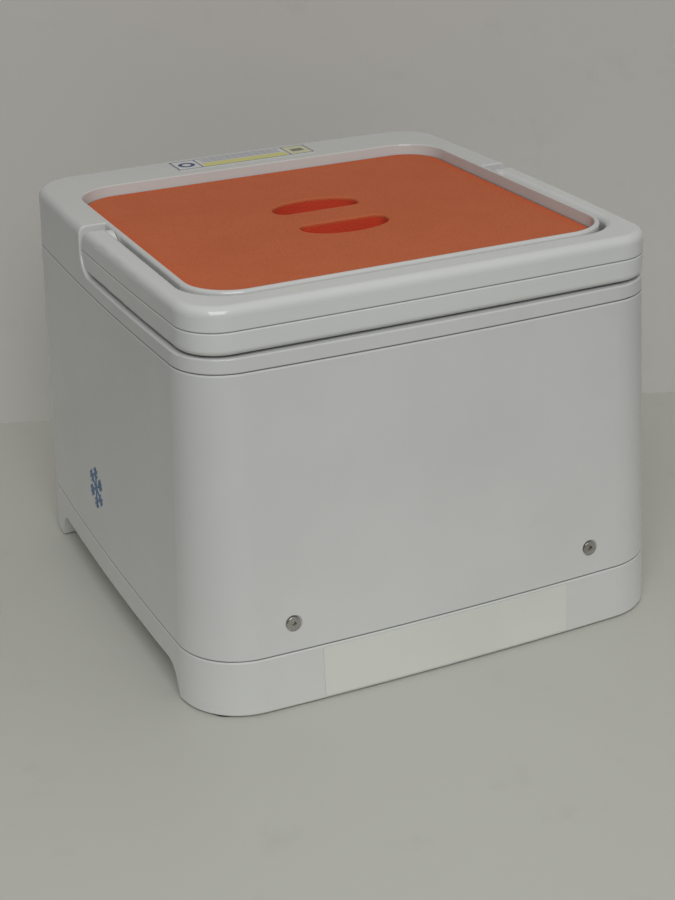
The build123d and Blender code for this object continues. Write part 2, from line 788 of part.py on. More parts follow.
def make_payload_tray():
    """Perforated tray on four legs that keeps the box of samples above the coolant."""
    half_x = vessel_x - payload_gap
    half_y = vessel_half_y - payload_gap
    tray = round_block(half_x, half_y, mouth_y, vessel_corner - payload_gap, z_payload, z_payload + payload_sheet)
    columns = int(2 * (half_x - vessel_corner) / payload_pitch)
    rows = int(2 * (half_y - vessel_corner) / payload_pitch)
    for i in range(columns + 1):
        for j in range(rows + 1):
            x = (i - columns / 2) * payload_pitch
            y = (j - rows / 2) * payload_pitch + mouth_y
            tray -= Pos(x, y, z_payload) * Cylinder(payload_hole, 4 * payload_sheet)
    notch = probe_radius + payload_gap
    back = mouth_y + half_y
    tray -= block(probe_x - notch, probe_x + notch, back - probe_reach - payload_gap, back + 1, 0, z_top)
    floor = z_vessel + vessel_wall
    leg_x = half_x - vessel_corner
    leg_y = half_y - vessel_corner
    for x in (-leg_x, leg_x):
        for y in (mouth_y - leg_y, mouth_y + leg_y):
            tray += Pos(x, y, (floor + z_payload) / 2) * Cylinder(payload_leg / 2, z_payload - floor)
    return tray


def make_probe_sheath():
    """Metal sheath through the vessel's wall."""
    plane = probe_plane()
    wall_y = insulation_back - (mouth_y + vessel_half_y)
    sheath = rod(plane, probe_radius, -wall_y - probe_reach, gland_flange)
    return fillet(sheath.edges().group_by(Axis.Y)[0], 1.2)


def make_probe_gland():
    """Gland on the insulation's back face that holds the sheath and the lead."""
    plane = probe_plane()
    gland = rod(plane, gland_radius, 0, gland_flange)
    gland += extrude(plane.offset(gland_flange) * RegularPolygon(gland_radius - 1, 6), amount=gland_nut)
    gland -= rod(plane, probe_radius, 0, gland_flange)
    return gland - rod(plane, lead_radius, gland_flange, gland_flange + gland_nut)


def connector_place(side):
    """Plane of a lead connector on the panel. side +1 is the battery's and -1 the probe's."""
    return on_plane(panel, -side * connector_x, -side * connector_y)


def connector_back(side, room):
    """Point behind a lead connector, at a distance from its back."""
    return connector_place(side).offset(-board_depth - board_sheet - connector_size - room).origin


def probe_route():
    """Points of the probe's lead, from the gland to its connector on the board."""
    start_y = insulation_back + gland_flange + gland_nut
    plug = connector_back(-1, 0)
    run_y = (start_y + plug.Y) / 2
    turn = connector_back(-1, plug.Y - run_y)
    return [Vector(probe_x, start_y, z_probe), Vector(probe_x, run_y, z_probe), turn, plug]


def held_lead(spots):
    """Round lead along straight runs and arcs, each arc as large as its runs allow."""
    runs = [end - start for start, end in zip(spots, spots[1:])]
    room = [run.length * 0.45 for run in runs]
    room[0] *= 1.8
    room[-1] *= 1.8
    radii = []
    for i in range(len(runs) - 1):
        half_turn = math.radians(runs[i].get_angle(runs[i + 1])) / 2
        radii.append(min(lead_bend, min(room[i], room[i + 1]) / math.tan(half_turn)))
    path = FilletPolyline(*spots, radius=radii)
    section = Plane(origin=spots[0], z_dir=runs[0]) * Circle(lead_radius)
    return sweep(section, path)


def make_probe_lead():
    """Lead from the probe to the board."""
    return held_lead(probe_route())


def make_lead_clip():
    """Clip on the insulation that holds the probe's lead."""
    start, turn = probe_route()[1:3]
    middle = (start + turn) * 0.5
    along = Plane(origin=middle, x_dir=(0, 1, 0), z_dir=turn - start)
    out = lead_radius + clip_wall
    depth = middle.Y - insulation_back
    clip = extrude(along * Rectangle(2 * out, 2 * out), amount=clip_width / 2, both=True)
    foot = extrude(along * Pos(-depth / 2, 0) * Rectangle(depth, 2 * out), amount=clip_width / 2, both=True)
    bore = rod(along, lead_radius + 0.05, -clip_width, clip_width)
    behind = block(-case_width, case_width, 0, insulation_back, 0, z_top)
    return clip + foot - bore - behind


def make_control_fascia():
    """Panel that carries the window, the keys, the status light and the log socket."""
    fascia = plate(panel, panel_width, panel_height, panel_corner, -panel_seat, panel_proud)
    fascia = fillet(fascia.edges().filter_by(lambda e: abs(panel.to_local_coords(e.center()).Z - panel_proud) < 0.01), 0.4)
    inner_width = panel_width - 2 * panel_border - 2 * panel_gap
    inner_height = panel_height - 2 * panel_border - 2 * panel_gap
    fascia += plate(panel, inner_width, inner_height, panel_corner - panel_border - panel_gap, -panel_back, -panel_seat)
    window = on_plane(panel, window_x, 0)
    fascia -= slab(window, window_width, window_height, -window_sheet + panel_proud, 5)
    fascia -= slab(window, window_width - 2 * window_lip, window_height - 2 * window_lip, -10, 5)
    for x, y in key_spots:
        fascia -= rod(on_plane(panel, x, y), key_radius + key_gap, -10, 5)
    fascia -= rod(on_plane(panel, light_x, light_y), light_radius, -10, 5)
    port = on_plane(panel, port_x, port_y)
    fascia -= slab(port, port_width + 2 * panel_gap, port_height + 2 * panel_gap, -10, 5)
    hinge = port_hinge()
    for side in (-1, 1):
        x = side * (cover_width / 2 + fit_gap + ear_width / 2)
        ear = on_plane(panel, port_x + x, hinge[1])
        fascia += slab(ear, ear_width, 2 * hinge_radius, 0, hinge[2])
        fascia += port_rod(hinge_radius, x - ear_width / 2, x + ear_width / 2)
    return fascia - port_rod(hinge_pin_radius, -cover_width, cover_width)


def port_hinge():
    """Place of the socket cover's hinge on the panel: across, up and out."""
    return (port_x, port_y + cover_height_port / 2 + hinge_radius, panel_proud + fit_gap + hinge_radius)


def port_rod(radius, start, end):
    """Round bar along the socket cover's hinge."""
    x, y, out = port_hinge()
    origin = panel.from_local_coords((x, y, out))
    side = panel.x_dir
    return rod(Plane(origin=origin, x_dir=panel.z_dir, z_dir=side), radius, start, end)


def make_port_cover():
    """Hinged cover over the log socket."""
    x, y, out = port_hinge()
    low = panel_proud + fit_gap
    place = on_plane(panel, x, y - cover_height_port / 2 - hinge_radius / 2)
    flap = plate(place, cover_width, cover_height_port + hinge_radius, 1.2, low, low + cover_sheet)
    flap += port_rod(hinge_radius, -cover_width / 2, cover_width / 2)
    return flap - port_rod(hinge_pin_radius + 0.05, -cover_width, cover_width)


def make_port_pin():
    """Pin of the socket cover's hinge."""
    reach = cover_width / 2 + fit_gap + ear_width
    return port_rod(hinge_pin_radius, -reach, reach)


def make_display_window():
    """Clear window let into the panel."""
    window = on_plane(panel, window_x, 0)
    low = -window_sheet + panel_proud
    return slab(window, window_width - 0.2, window_height - 0.2, low, panel_proud - 0.1)


def make_display_module():
    """Display on the board behind the window."""
    window = on_plane(panel, window_x, 0)
    width = window_width + module_border
    height = window_height + module_border
    return slab(window, width, height, -board_depth, -panel_back - fit_gap)


def make_circuit_board():
    """Board of the temperature monitor."""
    width = panel_width - 2 * panel_border - 2 * board_border
    height = panel_height - 2 * panel_border - 2 * board_border
    board = slab(panel, width, height, -board_depth - board_sheet, -board_depth)
    for spot in spacer_planes():
        board -= rod(spot, screw_small + 0.1, -2 * board_depth, 0)
    return board


def spacer_planes():
    """Planes of the four posts between panel and board."""
    x = panel_width / 2 - panel_border - board_border - spacer_radius - 1
    y = panel_height / 2 - panel_border - board_border - spacer_radius
    return [on_plane(panel, side * x, up * y) for side in (-1, 1) for up in (-1, 1)]


def make_board_spacers():
    """Posts between panel and board."""
    posts = []
    for spot in spacer_planes():
        post = rod(spot, spacer_radius, -board_depth, -panel_back)
        posts.append(post - rod(spot, screw_small, -board_depth, -panel_back))
    return posts


def make_board_screws():
    """Screws through the board into its posts."""
    screws = []
    for spot in spacer_planes():
        back = -board_depth - board_sheet
        screw = rod(spot, screw_small - 0.02, back, -panel_back - 0.5)
        screws.append(screw + rod(spot, 2 * screw_small, back - 1.5, back))
    return screws


def make_key(index):
    """Push key with a flange that keeps it behind the panel."""
    x, y = key_spots[index]
    place = on_plane(panel, x, y)
    flange_top = -panel_back - fit_gap
    back = -board_depth + switch_height + key_travel + fit_gap
    cap = rod(place, key_radius, back, panel_proud + key_proud)
    front = cap.edges().filter_by(lambda e: abs(panel.to_local_coords(e.center()).Z - panel_proud - key_proud) < 0.01)
    cap = fillet(front, 0.6)
    return cap + rod(place, key_radius + key_flange, flange_top - key_flange_depth, flange_top)


def make_key_switches():
    """Switches on the board under the keys."""
    switches = []
    for x, y in key_spots:
        place = on_plane(panel, x, y)
        body = slab(place, switch_size, switch_size, -board_depth, -board_depth + switch_height * 0.8)
        switches.append(body + rod(place, switch_size * 0.3, -board_depth, -board_depth + switch_height))
    return switches


def make_status_light():
    """Light that shows through the panel."""
    place = on_plane(panel, light_x, light_y)
    return rod(place, light_radius - 0.1, -board_depth, panel_proud + 0.3)


def make_buzzer():
    """Alarm buzzer on the board's back."""
    place = on_plane(panel, window_x, 0)
    back = -board_depth - board_sheet
    body = rod(place, buzzer_radius, back - buzzer_height, back)
    return body - rod(place, 1.0, back - 2 * buzzer_height, back - buzzer_height / 2)


def make_data_port():
    """Socket for reading the temperature log."""
    place = on_plane(panel, port_x, port_y)
    shell = slab(place, port_width, port_height, -board_depth, panel_proud - 0.4)
    hollow = slab(place, port_width - 1, port_height - 1, -board_depth + 1.5, 5)
    tongue = slab(place, port_width - 3, 0.8, -board_depth + 1.5, panel_proud - 1.2)
    return shell - hollow + tongue


def make_board_connectors():
    """Two lead connectors on the board's back."""
    connectors = []
    for side in (-1, 1):
        low = -board_depth - board_sheet - connector_size
        connectors.append(slab(connector_place(side), connector_size + 3, connector_size, low, low + connector_size))
    return connectors


def make_battery_box():
    """Open box for the cells, fixed behind the wall."""
    low = -cell_back - cell_gap - box_wall
    high = -case_wall - wall_bow * (bay_width / case_width) ** 2 - 0.1
    outer = slab(bay, bay_width + 2 * box_wall, bay_height + 2 * box_wall, low, high)
    outer += slab(bay, bay_width + 6 * box_wall, bay_height + 6 * box_wall, high - box_wall, high)
    return outer - slab(bay, bay_width, bay_height, low + box_wall, 5)


def cell_planes():
    """Planes at the middle of each cell, along its axis."""
    pitch = 2 * cell_radius + cell_gap
    planes = []
    for i in range(cell_count):
        centre = bay.from_local_coords((0, (i - (cell_count - 1) / 2) * pitch, -cell_depth))
        planes.append(Plane(origin=centre, x_dir=bay.z_dir, z_dir=bay.x_dir * (-1) ** i))
    return planes


def make_battery_cells():
    """Cells lying one above another, turned about."""
    cells = []
    for plane in cell_planes():
        half = cell_length / 2
        body = rod(plane, cell_radius, -half, half - 1.0)
        body = fillet(body.edges(), 0.5)
        cells.append(body + rod(plane, 2.7, half - 1.5, half))
    return cells


def make_battery_contacts():
    """Contact cones at one end of each cell and plates at the other."""
    contacts = []
    for plane in cell_planes():
        half = cell_length / 2
        contacts.append(rod(plane, contact_radius, -half - contact_length, -half))
        contacts.append(slab(plane, 2 * contact_radius, 2 * contact_radius, half, half + contact_length))
    return contacts


def make_battery_door():
    """Cover over the battery bay, held by two tabs."""
    width = bay_width + 2 * door_border
    height = bay_height + 2 * door_border
    door = plate(bay, width, height, door_corner - door_gap, -panel_seat + fit_gap, door_sheet - panel_seat + fit_gap)
    front = door.edges().filter_by(
        lambda e: abs(bay.to_local_coords(e.center()).Z - door_sheet + panel_seat - fit_gap) < 0.01
    )
    door = fillet(front, 0.4)
    for side in (-1, 1):
        place = on_plane(bay, 0, side * (bay_height / 2 - door_gap - tab_sheet / 2))
        door += slab(place, tab_width, tab_sheet, -panel_seat - tab_length, -panel_seat + fit_gap)
    grip = on_plane(bay, 0, (height - grip_border) / 2)
    groove = grip.offset(door_sheet - panel_seat + fit_gap - grip_depth) * SlotOverall(grip_width, grip_height)
    groove = extrude(groove, amount=2 * grip_depth)
    return door - groove


def make_battery_lead():
    """Lead from the battery box to the board."""
    plug_depth_in = board_depth + board_sheet + connector_size
    across = -connector_x
    down = bay_height / 2 + box_wall - (panel.origin - bay.origin).length
    up = -connector_y
    back = max(plug_depth_in, cell_depth) + 2 * lead_bend
    turn = (down + up) / 2
    places = [(down, cell_depth), (turn, cell_depth), (turn, back), (up, back), (up, plug_depth_in)]
    return held_lead([panel.from_local_coords(Vector(across, y, -depth)) for y, depth in places])


def make_rating_plate():
    """Bare plate on the base band of the -Y wall."""
    skin = ring_zone(-plate_sheet, 0, stand_off + plate_margin, z_shell - plate_margin)
    return skin & block(-plate_width / 2, plate_width / 2, -case_depth, 0, 0, z_shell)


def make_deck_label():
    """Blank strip on the deck."""
    back = case_depth / 2 - z_top * slope - label_edge
    return block(-label_width / 2, label_width / 2, back - label_depth, back, z_top, z_top + label_sheet)


def make_side_mark():
    """Six-armed flake on the -X wall."""
    flake = Sketch()
    for i in range(6):
        arm = Pos(0, mark_radius / 2) * Rectangle(mark_line, mark_radius)
        for up in (0.5, 0.75):
            for lean in (-60, 60):
                tip = Pos(0, mark_radius * up) * Rot(0, 0, lean) * Pos(0, mark_radius * 0.14)
                arm += tip * Rectangle(mark_line, mark_radius * 0.28)
        flake += Rot(0, 0, 60 * i) * arm
    z_mark = z_shell + mark_rise
    place = Plane(origin=(-case_width, mark_y, z_mark), x_dir=(0, -1, 0), z_dir=(1, 0, 0))
    bar = extrude(place * flake, amount=case_width)
    return bar & ring_zone(-mark_sheet, 0, z_mark - 2 * mark_radius, z_mark + 2 * mark_radius)


def write(node, piece):
    """Write one named sub-part, which may be several separate solids."""
    solids = []
    for item in piece if isinstance(piece, list) else [piece]:
        solids.extend(item.solids())
    shape = solids[0] if len(solids) == 1 else Compound(children=solids)
    export_step(shape, f"parts/{node}.step")
    print(node, len(solids), round(sum(solid.volume for solid in solids), 1))


os.makedirs("parts", exist_ok=True)
handle_upper, handle_lower = make_handle()
write("base_tray", make_base_tray())
write("rubber_feet", make_rubber_feet())
write("body_shell", make_body_shell())
write("top_cover", make_top_cover())
write("handle_upper", handle_upper)
write("handle_lower", handle_lower)
write("handle_screws", make_handle_screws())
write("handle_bumpers", make_handle_bumpers())
write("pivot_pins", make_pivot_pins())
write("pivot_bushes", make_pivot_bushes())
write("cover_screws", make_cover_screws())
write("case_screws", make_case_screws())
write("foam_lid", make_foam_lid())
write("lid_plug", make_lid_plug())
write("mouth_gasket", make_mouth_gasket())
write("vessel_liner", make_vessel_liner())
write("insulation_walls", make_insulation_walls())
write("insulation_floor", make_insulation_floor())
write("payload_tray", make_payload_tray())
write("probe_sheath", make_probe_sheath())
write("probe_gland", make_probe_gland())
write("probe_lead", make_probe_lead())
write("lead_clip", make_lead_clip())
write("control_fascia", make_control_fascia())
write("display_window", make_display_window())
write("display_module", make_display_module())
write("circuit_board", make_circuit_board())
write("board_spacers", make_board_spacers())
write("board_screws", make_board_screws())
write("board_connectors", make_board_connectors())
write("key_power", make_key(0))
write("key_alarm", make_key(1))
write("key_probe", make_key(2))
write("key_switches", make_key_switches())
write("status_light", make_status_light())
write("buzzer", make_buzzer())
write("data_port", make_data_port())
write("port_cover", make_port_cover())
write("port_pin", make_port_pin())
write("battery_box", make_battery_box())
write("battery_cells", make_battery_cells())
write("battery_contacts", make_battery_contacts())
write("battery_door", make_battery_door())
write("battery_lead", make_battery_lead())
write("rating_plate", make_rating_plate())
write("deck_label", make_deck_label())
write("side_mark", make_side_mark())
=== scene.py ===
"""Looks of an insulated carrier for a box of frozen samples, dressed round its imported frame."""

import logging
import math
from collections.abc import Callable
from dataclasses import dataclass
from enum import Enum

import bpy
from mathutils import Matrix, Vector


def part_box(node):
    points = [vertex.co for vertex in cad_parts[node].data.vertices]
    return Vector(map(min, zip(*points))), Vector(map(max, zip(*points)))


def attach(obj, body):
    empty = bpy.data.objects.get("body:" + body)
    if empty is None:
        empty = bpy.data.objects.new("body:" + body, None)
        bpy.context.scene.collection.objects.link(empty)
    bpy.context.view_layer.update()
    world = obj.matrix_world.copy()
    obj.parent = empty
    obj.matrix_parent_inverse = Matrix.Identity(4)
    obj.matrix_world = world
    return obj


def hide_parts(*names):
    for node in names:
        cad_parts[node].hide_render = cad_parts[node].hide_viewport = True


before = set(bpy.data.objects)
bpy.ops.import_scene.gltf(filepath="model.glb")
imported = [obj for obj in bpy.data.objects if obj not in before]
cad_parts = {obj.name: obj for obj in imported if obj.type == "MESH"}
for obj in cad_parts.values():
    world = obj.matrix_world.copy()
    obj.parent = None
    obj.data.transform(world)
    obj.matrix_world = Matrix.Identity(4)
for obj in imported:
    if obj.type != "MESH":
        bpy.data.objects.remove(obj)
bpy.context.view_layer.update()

log = logging.getLogger("carrier")

Triple = tuple[float, float, float]
Colour = Triple
Span = tuple[float, float]
EdgeTest = Callable[[list[Vector]], bool]

# Lengths are in metres, and ends this close to a place lie on it.
MM = 0.001
SAME_PLACE = 1e-6

CASE_WHITE: Colour = (0.562, 0.568, 0.560)


class Axis(Enum):
    """Axes that a pattern or an edge can follow."""

    X = 0
    Y = 1
    Z = 2


class Joining(Enum):
    """Ways to put two solids together."""

    CUT = "DIFFERENCE"
    ADD = "UNION"


# Node trees


def shade(colour: Colour, factor: float, lift: float = 0.0) -> Colour:
    """Scales a colour and lifts it, up to white.

    Args:
        colour: The colour.
        factor: What each channel is multiplied by.
        lift: What is added to each channel.

    Returns:
        The new colour.
    """
    return tuple(min(1.0, channel * factor + lift) for channel in colour)


@dataclass
class Tree:
    """A node tree with short ways to add and join nodes."""

    nodes: bpy.types.Nodes
    links: bpy.types.NodeLinks

    def add(self, kind: str, **settings: object) -> bpy.types.Node:
        """Adds a node.

        Args:
            kind: The node's Blender type.
            settings: Attributes to set on it.

        Returns:
            The new node.
        """
        node = self.nodes.new(kind)
        for name, value in settings.items():
            setattr(node, name, value)
        return node

    def feed(self, socket: bpy.types.NodeSocket, source: object) -> None:
        """Joins a source socket to an input, or writes a plain value on it.

        Args:
            socket: The input to fill.
            source: An output socket, a number or a tuple.
        """
        if isinstance(source, bpy.types.NodeSocket):
            self.links.new(source, socket)
        else:
            socket.default_value = source

    def math(self, operation: str, *terms: object) -> bpy.types.NodeSocket:
        """Adds a Math node.

        Args:
            operation: The operation's Blender name.
            terms: Sockets or numbers, in order.

        Returns:
            The node's output.
        """
        node = self.add("ShaderNodeMath", operation=operation)
        for socket, term in zip(node.inputs, terms):
            self.feed(socket, term)
        return node.outputs[0]

    def noise(
        self, vector: object, scale: object, detail: float, rough: float = 0.5
    ) -> bpy.types.NodeSocket:
        """Adds a Noise texture.

        Args:
            vector: The socket that gives the place.
            scale: Its scale, per metre.
            detail: How many octaves it has.
            rough: How strong the small octaves are.

        Returns:
            Its value, from 0 to 1.
        """
        node = self.add("ShaderNodeTexNoise")
        self.feed(node.inputs["Vector"], vector)
        self.feed(node.inputs["Scale"], scale)
        node.inputs["Detail"].default_value = detail
        node.inputs["Roughness"].default_value = rough
        return node.outputs["Fac"]

    def cells(self, vector: object, scale: object) -> bpy.types.Node:
        """Adds a Voronoi texture.

        Args:
            vector: The socket that gives the place.
            scale: Its scale, per metre.

        Returns:
            The node, with the cells' colours and the distance to each cell's point.
        """
        node = self.add("ShaderNodeTexVoronoi", feature="F1")
        self.feed(node.inputs["Vector"], vector)
        self.feed(node.inputs["Scale"], scale)
        return node

    def remap(
        self, value: object, low: object, high: object, start: float = 0.0, end: float = 1.0
    ) -> bpy.types.NodeSocket:
        """Adds a smooth Map Range.

        Args:
            value: The value to map.
            low: The value that gives the start.
            high: The value that gives the end.
            start: The result at low.
            end: The result at high.

        Returns:
            The mapped value.
        """
        node = self.add("ShaderNodeMapRange", interpolation_type="SMOOTHSTEP")
        terms = {"Value": value, "From Min": low, "From Max": high, "To Min": start, "To Max": end}
        for name, term in terms.items():
            self.feed(node.inputs[name], term)
        return node.outputs["Result"]

    def mix(self, mask: object, first: object, second: object) -> bpy.types.NodeSocket:
        """Mixes two colours.

        Args:
            mask: How much of the second colour shows.
            first: The colour at 0.
            second: The colour at 1.

        Returns:
            The mixed colour.
        """
        node = self.add("ShaderNodeMix", data_type="RGBA")
        self.feed(node.inputs["Factor"], mask)
        for socket, term in ((node.inputs[6], first), (node.inputs[7], second)):
            self.feed(socket, (*term, 1.0) if isinstance(term, tuple) and len(term) == 3 else term)
        return node.outputs[2]

    def place(
        self, scale: Triple = (1.0, 1.0, 1.0), turn: Triple = (0.0, 0.0, 0.0)
    ) -> bpy.types.NodeSocket:
        """Gives the object's own coordinates, stretched and turned.

        Args:
            scale: How much each axis is stretched.
            turn: Turns about each axis, in radians.

        Returns:
            The vector socket.
        """
        coordinate = self.add("ShaderNodeTexCoord")
        mapping = self.add("ShaderNodeMapping")
        mapping.inputs["Scale"].default_value = scale
        mapping.inputs["Rotation"].default_value = turn
        self.links.new(coordinate.outputs["Object"], mapping.inputs["Vector"])
        return mapping.outputs["Vector"]

    def split_place(self) -> bpy.types.Node:
        """Splits the object's own coordinates.

        Returns:
            The node whose outputs are X, Y and Z.
        """
        split = self.add("ShaderNodeSeparateXYZ")
        self.feed(split.inputs[0], self.place())
        return split

    def group(self, tree: bpy.types.NodeTree, **values: object) -> bpy.types.Node:
        """Places a shared node group.

        Args:
            tree: The group.
            values: Its inputs, by name with _ for a space.

        Returns:
            The group node.
        """
        node = self.add("ShaderNodeGroup", node_tree=tree)
        for name, value in values.items():
            self.feed(node.inputs[name.replace("_", " ")], value)
        return node


def new_group(
    name: str, inputs: dict[str, float], outputs: list[str]
) -> tuple[bpy.types.NodeTree, Tree, dict[str, bpy.types.NodeSocket], bpy.types.Node]:
    """Starts a shader node group.

    Args:
        name: The group's name.
        inputs: Its number inputs and their usual values.
        outputs: Its number outputs.

    Returns:
        The group, its tree, its input sockets by name and its output node.
    """
    tree = bpy.data.node_groups.new(name, "ShaderNodeTree")
    for label, value in inputs.items():
        socket = tree.interface.new_socket(label, in_out="INPUT", socket_type="NodeSocketFloat")
        socket.default_value = value
    for label in outputs:
        tree.interface.new_socket(label, in_out="OUTPUT", socket_type="NodeSocketFloat")
    kit = Tree(tree.nodes, tree.links)
    entry = kit.add("NodeGroupInput")
    end = kit.add("NodeGroupOutput")
    return tree, kit, {label: entry.outputs[label] for label in inputs}, end


class SharedEffects:
    """Node groups that more than one finish uses."""

    def __init__(self) -> None:
        """Builds every group once."""
        self.skin = self.build_skin()
        self.marks = self.build_marks()
        self.seams = self.build_seams()
        self.cells = self.build_cells()
        self.printed = self.build_printed()

    def build_skin(self) -> bpy.types.NodeTree:
        """Builds moulded plastic's skin: a long ripple, a fine grain and soft clouds.

        Returns:
            The group.
        """
        tree, kit, take, end = new_group(
            "moulded_skin",
            {
                "Ripple Scale": 70.0,
                "Ripple": 0.5,
                "Grain Scale": 1800.0,
                "Grain": 0.2,
                "Cloud Scale": 12.0,
            },
            ["Height", "Cloud"],
        )
        spot = kit.place()
        long_wave = kit.noise(spot, take["Ripple Scale"], detail=1.0)
        fine_wave = kit.noise(spot, take["Grain Scale"], detail=2.0)
        clouds = kit.noise(spot, take["Cloud Scale"], detail=4.0, rough=0.6)
        ripple = kit.math("MULTIPLY", long_wave, take["Ripple"])
        grain = kit.math("MULTIPLY", fine_wave, take["Grain"])
        kit.feed(end.inputs["Height"], kit.math("ADD", ripple, grain))
        kit.feed(end.inputs["Cloud"], kit.remap(clouds, 0.35, 0.7))
        return tree

    def build_marks(self) -> bpy.types.NodeTree:
        """Builds marks of handling: a few dark specks, and faint drawn scuffs.

        Returns:
            The group.
        """
        tree, kit, take, end = new_group(
            "handling_marks",
            {"Speck Scale": 26.0, "Speck Size": 0.02, "Scuff Scale": 30.0, "Scuff Share": 0.5},
            ["Specks", "Scuffs"],
        )
        speck_blur = 0.004
        scuff_start, scuff_spread, scuff_blur = 0.78, 0.2, 0.06
        spot = kit.place()
        cell = kit.cells(spot, take["Speck Scale"])
        size = kit.math("MULTIPLY", cell.outputs["Color"], take["Speck Size"])
        near = kit.math("SUBTRACT", size, cell.outputs["Distance"])
        kit.feed(end.inputs["Specks"], kit.remap(near, -speck_blur, speck_blur))
        slanting = kit.place(scale=(1.0, 1.0, 9.0), turn=(0.3, 0.5, 0.4))
        drawn = kit.noise(slanting, take["Scuff Scale"], detail=5.0, rough=0.65)
        patch = kit.remap(kit.noise(spot, 6.0, detail=2.0), 0.5, 0.7)
        spread = kit.math("MULTIPLY", take["Scuff Share"], scuff_spread)
        low = kit.math("SUBTRACT", scuff_start, spread)
        line = kit.remap(drawn, low, kit.math("ADD", low, scuff_blur))
        kit.feed(end.inputs["Scuffs"], kit.math("MULTIPLY", line, patch))
        return tree

    def build_seams(self) -> bpy.types.NodeTree:
        """Builds two level seams: a painted shade line under the piece above, a painted highlight
        on the rounded edge of the piece below.

        Returns:
            The group.
        """
        tree, kit, take, end = new_group(
            "seam_painted_shade_and_highlight",
            {
                "Low Seam": 34.0 * MM,
                "High Seam": 195.0 * MM,
                "Lift": 0.2 * MM,
                "Width": 0.6 * MM,
                "Drop": 0.7 * MM,
            },
            ["Painted Shade", "Painted Highlight"],
        )
        height = kit.split_place().outputs["Z"]
        sunk = kit.math("MULTIPLY", take["Drop"], -1.0)
        # Painted shade along the lower edge of the piece above each seam, and a painted highlight
        # along the top edge of the piece below.
        for output, shift in (("Painted Shade", take["Lift"]), ("Painted Highlight", sunk)):
            bands = []
            for label in ("Low Seam", "High Seam"):
                above = kit.math("SUBTRACT", height, take[label])
                off = kit.math("ABSOLUTE", kit.math("SUBTRACT", above, shift))
                bands.append(kit.remap(off, 0.0, take["Width"], 1.0, 0.0))
            kit.feed(end.inputs[output], kit.math("MAXIMUM", *bands))
        return tree

    def build_cells(self) -> bpy.types.NodeTree:
        """Builds cut foam: open cells of two sizes and a slow change of tone.

        Returns:
            The group.
        """
        tree, kit, take, end = new_group(
            "foam_cells",
            {"Cell Scale": 900.0, "Depth": 1.0, "Tone Scale": 25.0},
            ["Height", "Pits", "Tone"],
        )
        large_share, small_share, small_ratio = 0.7, 0.3, 2.3
        spot = kit.place()
        cell = kit.cells(spot, take["Cell Scale"])
        fine_scale = kit.math("MULTIPLY", take["Cell Scale"], small_ratio)
        small = kit.noise(spot, fine_scale, detail=2.0)
        tone = kit.noise(spot, take["Tone Scale"], detail=5.0, rough=0.6)
        bowl = kit.remap(cell.outputs["Distance"], 0.1, 0.75)
        height = kit.math(
            "ADD", kit.math("MULTIPLY", bowl, large_share), kit.math("MULTIPLY", small, small_share)
        )
        kit.feed(end.inputs["Height"], kit.math("MULTIPLY", height, take["Depth"]))
        kit.feed(end.inputs["Pits"], kit.remap(bowl, 0.0, 0.5, 1.0, 0.0))
        kit.feed(end.inputs["Tone"], kit.remap(tone, 0.3, 0.7))
        return tree

    def build_printed(self) -> bpy.types.NodeTree:
        """Builds a rectangle or disc seen from above: its field, its outline and its depth.

        Returns:
            The group.
        """
        tree, kit, take, end = new_group(
            "printed_shape",
            {
                "Centre X": 0.0,
                "Centre Y": 0.0,
                "Half X": 10.0 * MM,
                "Half Y": 10.0 * MM,
                "Line": 0.5 * MM,
                "Round": 0.0,
            },
            ["Field", "Outline", "Inside"],
        )
        blur = 0.05 * MM
        split = kit.split_place()
        depths, squares = [], []
        for axis in ("X", "Y"):
            shifted = kit.math("SUBTRACT", split.outputs[axis], take[f"Centre {axis}"])
            off = kit.math("ABSOLUTE", shifted)
            depths.append(kit.math("SUBTRACT", take[f"Half {axis}"], off))
            squares.append(kit.math("MULTIPLY", off, off))
        square = kit.math("MINIMUM", *depths)
        away = kit.math("SQRT", kit.math("ADD", *squares))
        disc = kit.math("SUBTRACT", take["Half X"], away)
        turn = kit.math("MULTIPLY", take["Round"], kit.math("SUBTRACT", disc, square))
        inside = kit.math("ADD", square, turn)
        field = kit.remap(inside, -blur, blur)
        core = kit.remap(kit.math("SUBTRACT", inside, take["Line"]), -blur, blur)
        kit.feed(end.inputs["Field"], field)
        kit.feed(end.inputs["Outline"], kit.math("SUBTRACT", field, core))
        kit.feed(end.inputs["Inside"], inside)
        return tree


@dataclass(frozen=True)
class Zone:
    """An upright block in which a surface changes its colour, in metres."""

    centre: Span
    half: Span
    foot: Span = (0.0, 0.0)
    head: Span = (0.0, 0.0)

    def lay_out(self, kit: Tree, effects: SharedEffects) -> bpy.types.Node:
        """Places the zone's plan in a material.

        Args:
            kit: The material's tree.
            effects: The shared node groups.

        Returns:
            The node whose outputs are the plan's field and the depth inside its border.
        """
        return kit.group(
            effects.printed,
            Centre_X=self.centre[0],
            Centre_Y=self.centre[1],
            Half_X=self.half[0],
            Half_Y=self.half[1],
        )

    def mask(self, kit: Tree, effects: SharedEffects) -> bpy.types.NodeSocket:
        """Marks the zone, which fades in over its foot and out over its head.

        Args:
            kit: The material's tree.
            effects: The shared node groups.

        Returns:
            The mask.
        """
        height = kit.split_place().outputs["Z"]
        below = kit.remap(height, *self.head, 1.0, 0.0)
        above = kit.remap(height, *self.foot)
        field = self.lay_out(kit, effects).outputs["Field"]
        return kit.math("MULTIPLY", field, kit.math("MULTIPLY", below, above))


def new_material(name: str) -> tuple[bpy.types.Material, Tree, bpy.types.Node]:
    """Starts a material with one Principled shader.

    Args:
        name: The material's name.

    Returns:
        The material, its tree and the shader.
    """
    material = bpy.data.materials.new(name)
    material.use_nodes = True
    kit = Tree(material.node_tree.nodes, material.node_tree.links)
    return material, kit, material.node_tree.nodes["Principled BSDF"]


